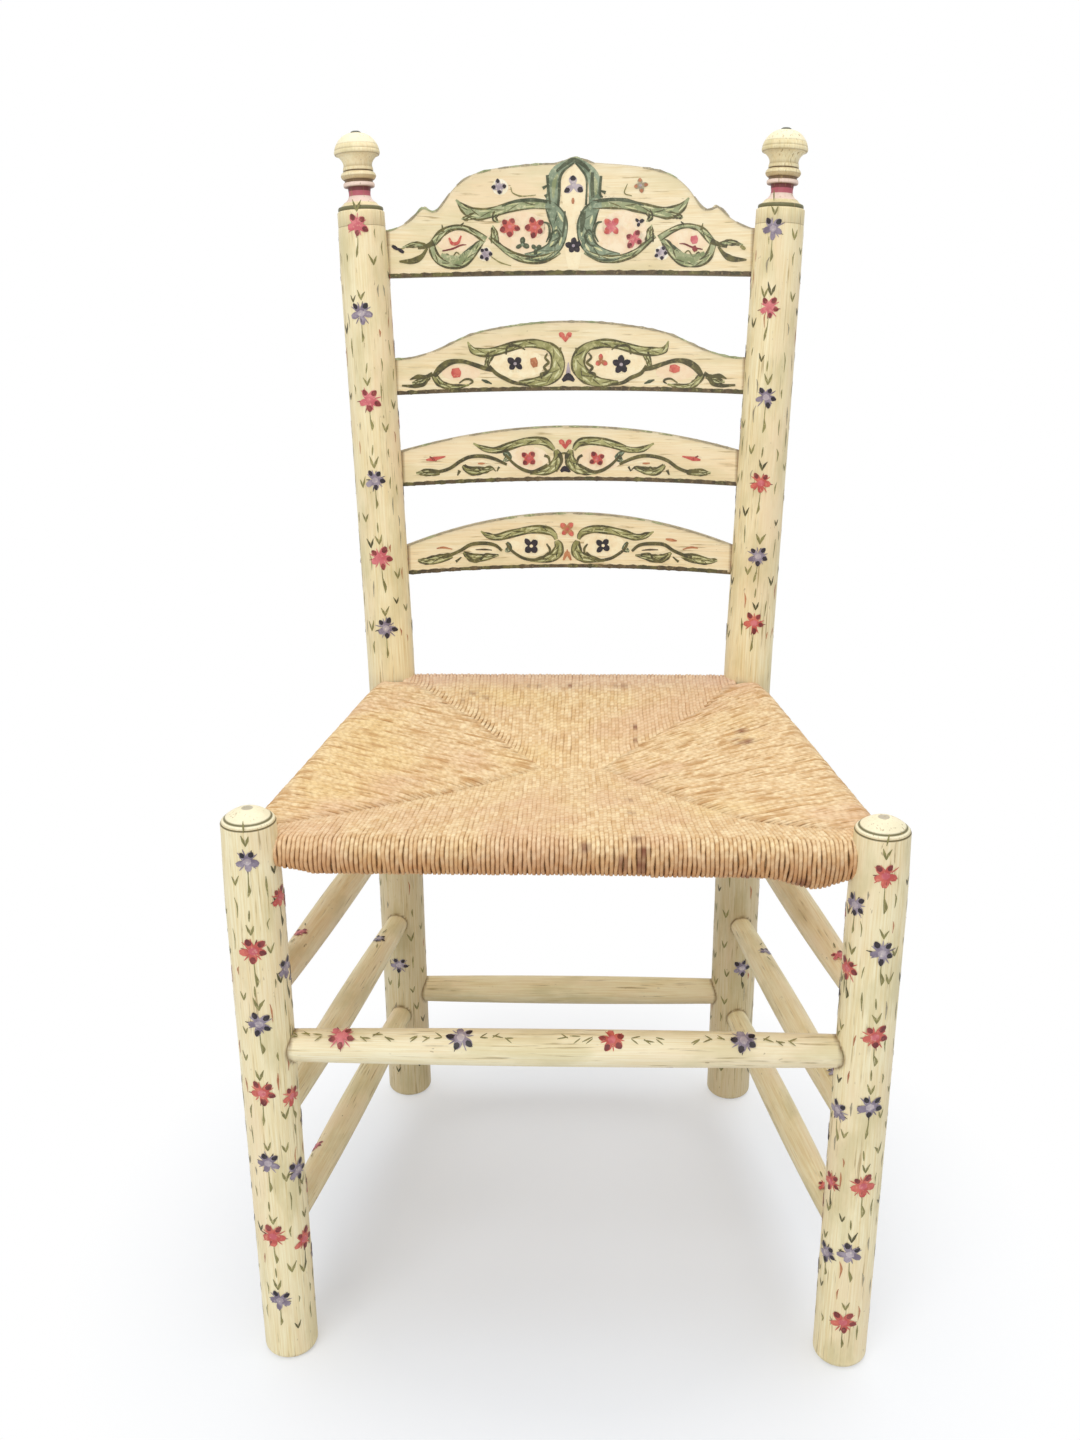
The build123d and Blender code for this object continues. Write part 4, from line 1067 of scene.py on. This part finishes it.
# a side strand's place behind the front post, and its end: 0 to 1 on the front seam, 1 to 2 on the rear one
sideRuns = {"Left": [(14, 0), (50, 0.18), (87, 0.36), (143, 0.57), (180, 0.755), (219, 1), (254, 1.28),
                     (285, 1.51), (314, 1.755), (334, 2)],
            "Right": [(14, 0), (42, 0.16), (68, 0.325), (97, 0.48), (150, 0.69), (216, 0.88), (251, 1),
                      (279, 1.21), (305, 1.47), (321, 1.67), (334, 2)]}
# lie is across, up and along a strand, strand its chance tone, row and gore, stainAndShade its stain, how low
# on the roll it lies and how far it turns into the seam, which darken it, partly as painted shade
weave = {"faces": [], "points": [], "lie": [], "strand": [], "stainAndShade": [], "count": 0}
stains = [   # where, how wide, how strong
    ((145.8, 220.9, 443), 4.5, 0.8), ((146.6, 197, 443), 5.5, 0.9), ((141, 205, 443), 4, 0.5),
    ((14.8, -8.1, 445.5), 3.5, 0.8), ((54.6, -10.4, 443.4), 3.5, 0.95), ((50.4, -0.1, 448), 4, 0.6),
    ((40.9, -13.8, 436), 3.5, 0.8), ((40.9, -13.8, 430), 3, 0.8), ((53.2, -13, 434), 3, 0.9),
    ((53.4, -12, 428), 3, 0.8), ((126.7, -8.4, 421), 4, 0.8), ((165, -8, 418), 5, 0.8),
    ((56.7, 246, 437), 3, 0.9), ((56.9, 223, 436), 3, 0.9), ((47.9, 88.4, 440), 3, 0.8),
    ((48.4, 56.4, 443), 3, 0.6), ((-86, 312, 447), 4, 0.7), ((-74, 303, 447), 4, 0.7),
    ((-95, 297, 446), 3, 0.7), ((117.5, 297, 446), 3, 0.5)]
for x in range(-46, 62, 6):   # dark ends along the back of the seat
    spot = (x + 2.4 * math.sin(x * 1.7), 327 + 3 * math.sin(x * 0.37), 447)
    stains.append((spot, 2.4 + math.sin(x * 1.3), 0.45 + 0.4 * math.sin(x * 0.9)))


def seamShare(seam):   # 0 at the post, 1 at the ridge
    run = np.linalg.norm(np.diff(seam, axis=0), axis=1)
    return np.concatenate([[0], np.cumsum(run)]) / run.sum()


def meetSeam(end, x):   # where the front or rear strand at that x ends
    left, right = seams[end + "Left"], seams[end + "Right"]
    if left[-1][0] < x < right[-1][0]:
        return np.interp(x, (left[-1][0], right[-1][0]), (left[-1][1], right[-1][1])), 1.0
    seam, turned = (left, 1) if x < 0 else (right, -1)
    across = seam[::turned, 0]
    return np.interp(x, across, seam[::turned, 1]), np.interp(x, across, seamShare(seam)[::turned])


# one strand, under the seat, round its rail and over the top to the seam; gore 0 is the front one, 1 the
# rear one, 2 the left one and 3 the right one, and postGap is how far away the nearest post's axis is
def layStrand(gore, row, rail, out, seamAt, share, postGap, bend=(0, 0), curlLength=12, squeeze=1.0, sway=0.4,
              sink=0.0, tuck=0.0):
    rail, out, seamAt, bend = (np.array((*place, 0.0)) for place in (rail, out, seamAt, bend))
    side = np.array([-out[1], out[0], 0.0])
    top = seat["edgeTop"] + (seat["ridgeTop"] - seat["edgeTop"]) * share
    under = seat["edgeUnder"] + (seat["ridgeUnder"] - seat["edgeUnder"]) * share
    reach = np.linalg.norm(seamAt - rail)
    rise = seat["postRise"] * min(1, max(0, 1 - (postGap - seat["postEdge"]) / seat["riseLength"])) ** 1.3
    coil = seat["coil"] + dice.uniform(-0.3, 0.3)
    wide, tall = seat["onRoll"]
    path = []
    for t in np.linspace(1, 0.06, max(3, int(reach / seat["underStep"]))):   # under the seat, out to the rail
        x, y, _ = rail + (seamAt - rail) * t
        z = seat["edgeUnder"] + rise * (1 - t) + (under - seat["edgeUnder"]) * t
        path.append((x, y, z, wide, tall, 0.5, 0))
    swing, phase = dice.uniform(-0.7, 0.7), dice.uniform(0, 6)
    for angle in np.linspace(-0.5, 0.5, 13) * math.pi:   # round the rail
        lower = (rise - sink) * max(0, -math.sin(angle))
        swerve = side * swing * math.sin(3 * angle + phase) * math.cos(angle)
        x, y, _ = rail + out * (coil + 0.2 * sink - tuck) * math.cos(angle) + swerve
        z = seat["railHeight"] + (coil - lower) * math.sin(angle)
        # how low on the roll: browner there, with painted shade between the strands
        low = min(1, max(0, (444 - z) / 12)) * dice.uniform(0.75, 1.1)
        path.append((x, y, z, wide, tall, low if angle < 1.3 else 0, 0))
    start = len(path)
    ride = dice.uniform(-0.35, 0.35) * (gore > 1)
    steps = max(2, int(reach / seat["topStep"]))
    wide, tall = seat["onTop"]
    for k in range(1, steps + 1):   # over the top, in to the seam
        t = k / (steps + 0.35)
        left = reach * (1 - t)
        curl = max(0, 1 - left / curlLength) ** 2
        drift = (math.sin(left / 11 + row * 0.13) + dice.uniform(-0.5, 0.5)) * sway * min(1, left / 8)
        x, y, _ = rail + (seamAt - bend - rail) * t + bend * curl + side * drift
        z = seat["edgeTop"] + (top - seat["edgeTop"]) * t + dice.uniform(-0.3, 0.3) * sway + ride
        path.append((x, y, z, wide * (1 + (squeeze - 1) * t), tall, 0, curl * (gore > 1)))
    heading = (np.array(path[-1][:3]) - path[-2][:3]) * (1, 1, 0)
    heading /= np.linalg.norm(heading)
    dip, flare = (0.5, 0.9) if gore > 1 else (0.8, 1.15)
    for ahead, drop in ((1.4, 0.4), (3.4, 2.6)):   # down into the seam
        x, y, _ = seamAt + heading * ahead
        path.append((x, y, top - drop * dip, wide * flare * squeeze, tall, 0, gore > 1))
    wrapStrand(np.array(path), side, start, row, gore)


def wrapStrand(path, side, start, row, gore):   # six sides round the path, and the marks that the rush reads
    wide, tall, low, hook = path[:, 3:].T
    girth = np.array([dice.uniform(0.94, 1.05) for _ in path])
    path = path[:, :3]
    run = np.gradient(path, axis=0)
    run /= np.linalg.norm(run, axis=1, keepdims=True)
    lift = np.cross(np.broadcast_to(side, run.shape), run)
    lift /= np.linalg.norm(lift, axis=1, keepdims=True)
    turn = np.linspace(0, 2 * math.pi, 7)[:-1]
    ring = (np.cos(turn)[None, :, None] * side * (wide * girth)[:, None, None]
            + np.sin(turn)[None, :, None] * lift[:, None, :] * (tall * girth)[:, None, None])
    along = np.concatenate([[0], np.cumsum(np.linalg.norm(np.diff(path, axis=0), axis=1))])
    lie = np.zeros((len(path), 6, 3))
    lie[:, :, 0], lie[:, :, 1], lie[:, :, 2] = np.cos(turn), np.sin(turn), (along - along[start])[:, None]
    spot = np.zeros(len(path))
    for centre, radius, strength in stains:
        off = np.linalg.norm((path - centre) * (1, 1, 0.6), axis=1)
        spot = np.maximum(spot, strength * np.clip(1.5 - off / radius, 0, 1))
    first, last = weave["count"], weave["count"] + (len(path) - 1) * 6
    weave["faces"] += gridFaces(len(path), 6, True, first)
    weave["faces"] += [tuple(range(first + 5, first - 1, -1)), tuple(range(last, last + 6))]
    weave["points"].append((path[:, None, :] + ring).reshape(-1, 3))
    weave["lie"].append(lie.reshape(-1, 3))
    weave["strand"] += [(dice.random(), row, gore)] * (len(path) * 6)
    weave["stainAndShade"].append(np.repeat(np.stack([spot, low, hook], axis=1), 6, axis=0))
    weave["count"] += len(path) * 6


def tuckIn(postGap):   # near a post the roll is flatter, so that it goes in behind the post's face
    return seat["tuck"] * min(1.25, max(0, 1 - postGap / seat["tuckLength"]))


def weaveSeat():
    # half the width that is woven, half the way between the posts, and how the strands turn in at the seam
    ends = {"front": {"gore": 0, "reach": 208.0, "room": 222.0, "y": 0, "out": -1, "curl": (0, 0),
                      "curlLength": 30, "lean": 5},
            "rear": {"gore": 1, "reach": 151.0, "room": 165.5, "y": backPost["depth"], "out": 1,
                     "curl": (-3.5, 1), "curlLength": 18, "lean": 0}}
    for end, s in ends.items():
        count = round(2 * s["reach"] / seat["pitch"])
        for i in range(count):
            x = -s["reach"] + 2 * s["reach"] * (i + 0.5) / count + dice.uniform(-0.15, 0.15)
            lean = s["lean"] * min(1, max(-1, -x / 60))   # the strands close in towards the ridge
            seamY, share = meetSeam(end, x + lean)
            curl = s["curl"][x > 0] * min(1, (1 - share) * 5)
            postGap = s["room"] - abs(x)
            sink = 0
            if end == "front":   # the roll sags at the right
                sink = seat["sag"] * math.exp(-((x - seat["sagAt"]) / seat["sagWidth"]) ** 2)
                sink += seat["rightSag"] * (x > 60)
                postGap = 99 if x > 100 else postGap
            layStrand(s["gore"], x, (x, s["y"]), (0, s["out"]), (x + lean, seamY), share, postGap, (curl, 0),
                      s["curlLength"], sink=sink, tuck=tuckIn(s["room"] - seat["postEdge"] - 2.5 - abs(x)))
    for hand, runs in sideRuns.items():
        sign = -1 if hand == "Left" else 1
        places, goals = zip(*runs)
        rows = np.linspace(*seat["sideRows"], 1500)
        goal = np.interp(rows, places, goals)
        share = np.minimum(goal, 2 - goal)
        front, rear = seams["front" + hand], seams["rear" + hand]
        at = np.stack([np.where(goal < 1, np.interp(share, seamShare(front), front[:, k]),
                                np.interp(share, seamShare(rear), rear[:, k])) for k in (0, 1)], axis=1)
        depth = backPost["depth"]
        narrowing = (frontPost["side"] - backPost["side"]) * rows / depth
        rail = np.stack([sign * (frontPost["side"] - narrowing), rows], axis=1)
        course = (rail - at) / np.linalg.norm(rail - at, axis=1, keepdims=True)
        spread = np.gradient(at, rows, axis=0)
        # how far the seam runs on across the strands for each mm of rail
        spread = np.abs(spread[:, 0] * course[:, 1] - spread[:, 1] * course[:, 0])
        need = np.cumsum(np.maximum(1, spread)) * (rows[1] - rows[0]) / seat["pitch"]
        for number in range(1, int(need[-1])):
            k = int(np.searchsorted(need, number + dice.uniform(-0.08, 0.08)))
            out = (sign * math.cos(seat["railTilt"]), math.sin(seat["railTilt"]))
            bend = (0, -4 * min(1, (1 - share[k]) * 5)) if goal[k] < 1 else (0, 0)
            squeeze = min(1, max(0.62, spread[k]))
            postGap = min(rows[k], depth - rows[k])
            layStrand(2 + (sign > 0), rows[k], rail[k], out, at[k], share[k], postGap + 5, bend, 12, squeeze,
                      0.9, tuck=tuckIn(postGap - seat["postEdge"]))
    points = inFrame(np.vstack(weave["points"])) * mm
    marks = {"lie": np.vstack(weave["lie"]), "strand": np.array(weave["strand"]),
             "stainAndShade": np.vstack(weave["stainAndShade"])}
    addPiece("woven_rush_seat", points, weave["faces"], rushFinish, ["rush_seat"], marks)
    print("seat woven,", len(points), "points")


def rushLook():
    finish, tree, shader = newFinish("twisted rush", 0.6, 0.25)
    x, y, along = node(tree, "SeparateXYZ", {"Vector": mark(tree, "lie", "Vector")}).outputs
    tuft, row, gore = node(tree, "SeparateXYZ", {"Vector": mark(tree, "strand", "Vector")}).outputs
    stain, low, hook = node(tree, "SeparateXYZ", {"Vector": mark(tree, "stainAndShade", "Vector")}).outputs
    sideways = maths(gore, 1.5, "GREATER_THAN")
    where = node(tree, "TexCoord").outputs["Object"]
    field = node(tree, "CombineXYZ", {"X": row, "Y": along, "Z": maths(gore, 37)}).outputs[0]
    grain = cloud(field, (0.5, 0.1, 1), 3)
    waves = cloud(field, (0.2, 0.03, 1), 2, (5, 9, 0))
    twist = maths(maths(along, 1.05), maths(tuft, 90), "ADD")
    twist = maths(maths(twist, maths(y, x, "ARCTAN2"), "ADD"), 1.0, "SINE")
    base = blend(ramp(grain, 0.38, 0.62), "#DDB988", "#F3DCB2")
    base = blend(ramp(cloud(where, (9, 9, 9), 2), 0.5, 0.64, 0, 0.4), base, "#EACD8C")
    base = blend(ramp(cloud(where, (12, 12, 12), 2, (36, 12, 0)), 0.52, 0.66, 0, 0.45), base, "#DFB796")
    base = blend(ramp(twist, -0.9, -0.1, 0.22, 0), base, "#B58655")
    # painted shade: darker dashes where the side strands wave up and down
    waveShade = maths(ramp(waves, 0.48, 0.36, 0, 1), ramp(sideways, 0, 1, 0.25, 0.75))
    base = blend(waveShade, base, "#BF9058")
    flank = ramp(maths(x, 0, "ABSOLUTE"), 0.5, 0.95)
    base = blend(maths(flank, ramp(grain, 0.42, 0.60, 0.6, 0.1)), base, "#96683A")   # painted shade between the strands
    # browner lower down the roll, and painted shade between the strands there
    base = blend(maths(low, 0.72), base, blend(tuft, "#B97942", "#CC935C"))
    base = blend(maths(flank, maths(low, 0.6)), base, "#7A4C2A")
    # painted shade where the strands turn down into the seam
    base = blend(maths(hook, ramp(flank, 0, 1, 0.25, 0.9)), base, "#86592F")
    rearward = node(tree, "SeparateXYZ", {"Vector": where}).outputs["Y"]
    base = blend(ramp(rearward, 0.098, 0.122, 0, 0.4), base, "#D9B7A6")
    base = blend(stain, base, "#7C4630")
    dress(shader, base, maths(twist, grain, "ADD"), 0.35, 0.5 * mm)
    return finish


def plainFinish(name, light, deep, roughness, stretch):
    finish, tree, shader = newFinish(name, roughness, 0.3)
    grain = cloud(node(tree, "TexCoord").outputs["Object"], stretch, 4)
    dress(shader, blend(ramp(grain, 0.35, 0.65), light, deep), grain, 0.3, 0.3 * mm)
    return finish


rushFinish = rushLook()
weaveSeat()
bareWood = plainFinish("bare beech", "#D8B988", "#BE9862", 0.6, (60, 60, 500))
dryRush = plainFinish("dry rush packing", "#B9975F", "#8A6B3C", 0.8, (300, 300, 300))
tackIron, tackTree, tackShader = newFinish("tack iron", 0.45, 0.5)
tackShader.inputs["Metallic"].default_value = 1.0
rustPatch = cloud(node(tackTree, "TexCoord").outputs["Object"], (900, 900, 900), 3)
tackTone = blend(ramp(rustPatch, 0.45, 0.6), "#6E6A64", "#7A4E30")
tackTree.links.new(tackTone, tackShader.inputs["Base Color"])
inner = {"front_seat_rail": bareWood, "rear_seat_rail": bareWood, "left_seat_rail": bareWood,
         "right_seat_rail": bareWood, "crest_pegs": bareWood, "seat_stuffing": dryRush,
         "rush_tacks": tackIron}
for name, finish in inner.items():
    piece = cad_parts[name]
    for holder in piece.material_slots:
        holder.material = finish
print("inner pieces finished")


# floor, light and camera: the floor near the chair takes its shadow, and the rest glows white
floorFinish, floorTree, floorShader = newFinish("pale floor", 0.9, 0.1)
floorShader.inputs["Base Color"].default_value = (0.90, 0.94, 1.0, 1)
glow = node(floorTree, "Emission", values={"Color": (1, 1, 1, 1), "Strength": 1.0})
seen = node(floorTree, "LightPath").outputs["Is Camera Ray"]
away = node(floorTree, "Mapping", {"Vector": node(floorTree, "TexCoord").outputs["Object"]},
            {"Location": (0, 0.08, 0)})   # measured from a spot under the seat
away = node(floorTree, "VectorMath", {0: away.outputs[0]}, operation="LENGTH")
away = ramp(away.outputs["Value"], 0.2, 0.43, 0.2, 1.0)
shaders = {1: floorShader.outputs[0], 2: glow.outputs[0], 0: maths(seen, away)}
mixed = node(floorTree, "MixShader", shaders)
floorTree.links.new(mixed.outputs[0], floorTree.nodes["Material Output"].inputs["Surface"])
mesh = bpy.data.meshes.new("pale_floor")
floorHalf, floorTop = 9, -0.0004
corners = [(x * floorHalf, y * floorHalf, floorTop) for x, y in ((-1, -1), (1, -1), (1, 1), (-1, 1))]
mesh.from_pydata(corners, [], [(0, 1, 2, 3)])
mesh.materials.append(floorFinish)
floor = bpy.data.objects.new("pale_floor", mesh)
bpy.context.scene.collection.objects.link(floor)

world = bpy.data.worlds.new("studio")
bpy.context.scene.world = world
world.use_nodes = True
sky = world.node_tree.nodes["Background"]
sky.inputs["Color"].default_value = (1, 1, 1, 1)
paths = node(world.node_tree, "LightPath")
white = maths(paths.outputs["Is Camera Ray"], paths.outputs["Is Glossy Ray"], "MAXIMUM")
white = maths(white, paths.outputs["Is Transmission Ray"], "MAXIMUM")
world.node_tree.links.new(ramp(white, 0, 1, 0.55, 1.0), sky.inputs["Strength"])

lamps = {"front": {"at": (-0.9, -2.2, 2.4), "size": 1.8, "power": 31},
         "top": {"at": (0.3, 0.2, 2.9), "size": 2.4, "power": 35}}
for name, lamp in lamps.items():
    data = bpy.data.lights.new(name, "AREA")
    data.size, data.energy = lamp["size"], lamp["power"]
    made = bpy.data.objects.new(name, data)
    made.location = lamp["at"]
    made.rotation_euler = (Vector((0, 0, 0.4)) - Vector(lamp["at"])).to_track_quat("-Z", "Y").to_euler()
    bpy.context.scene.collection.objects.link(made)

view = {"at": (0.012693, -1.120507, 0.873476), "pitch": 20.507, "yaw": -1.805, "roll": 0.398, "lens": 35.977}
pitch, yaw, roll = (math.radians(view[k]) for k in ("pitch", "yaw", "roll"))
ahead = Vector((math.sin(yaw) * math.cos(pitch), math.cos(yaw) * math.cos(pitch), -math.sin(pitch)))
aside = Vector((math.cos(yaw), -math.sin(yaw), 0))
down = ahead.cross(aside)
right = aside * math.cos(roll) + down * math.sin(roll)
below = -aside * math.sin(roll) + down * math.cos(roll)
lens = bpy.data.cameras.new("camera")
lens.lens, lens.sensor_width, lens.clip_start = view["lens"], 36.0, 0.05
camera = bpy.data.objects.new("camera", lens)
turned = Matrix((right, -below, -ahead)).transposed()
camera.matrix_world = Matrix.Translation(Vector(view["at"])) @ turned.to_4x4()
bpy.context.scene.collection.objects.link(camera)
bpy.context.scene.camera = camera
bpy.context.scene.view_settings.view_transform = "Standard"
print("stage set")
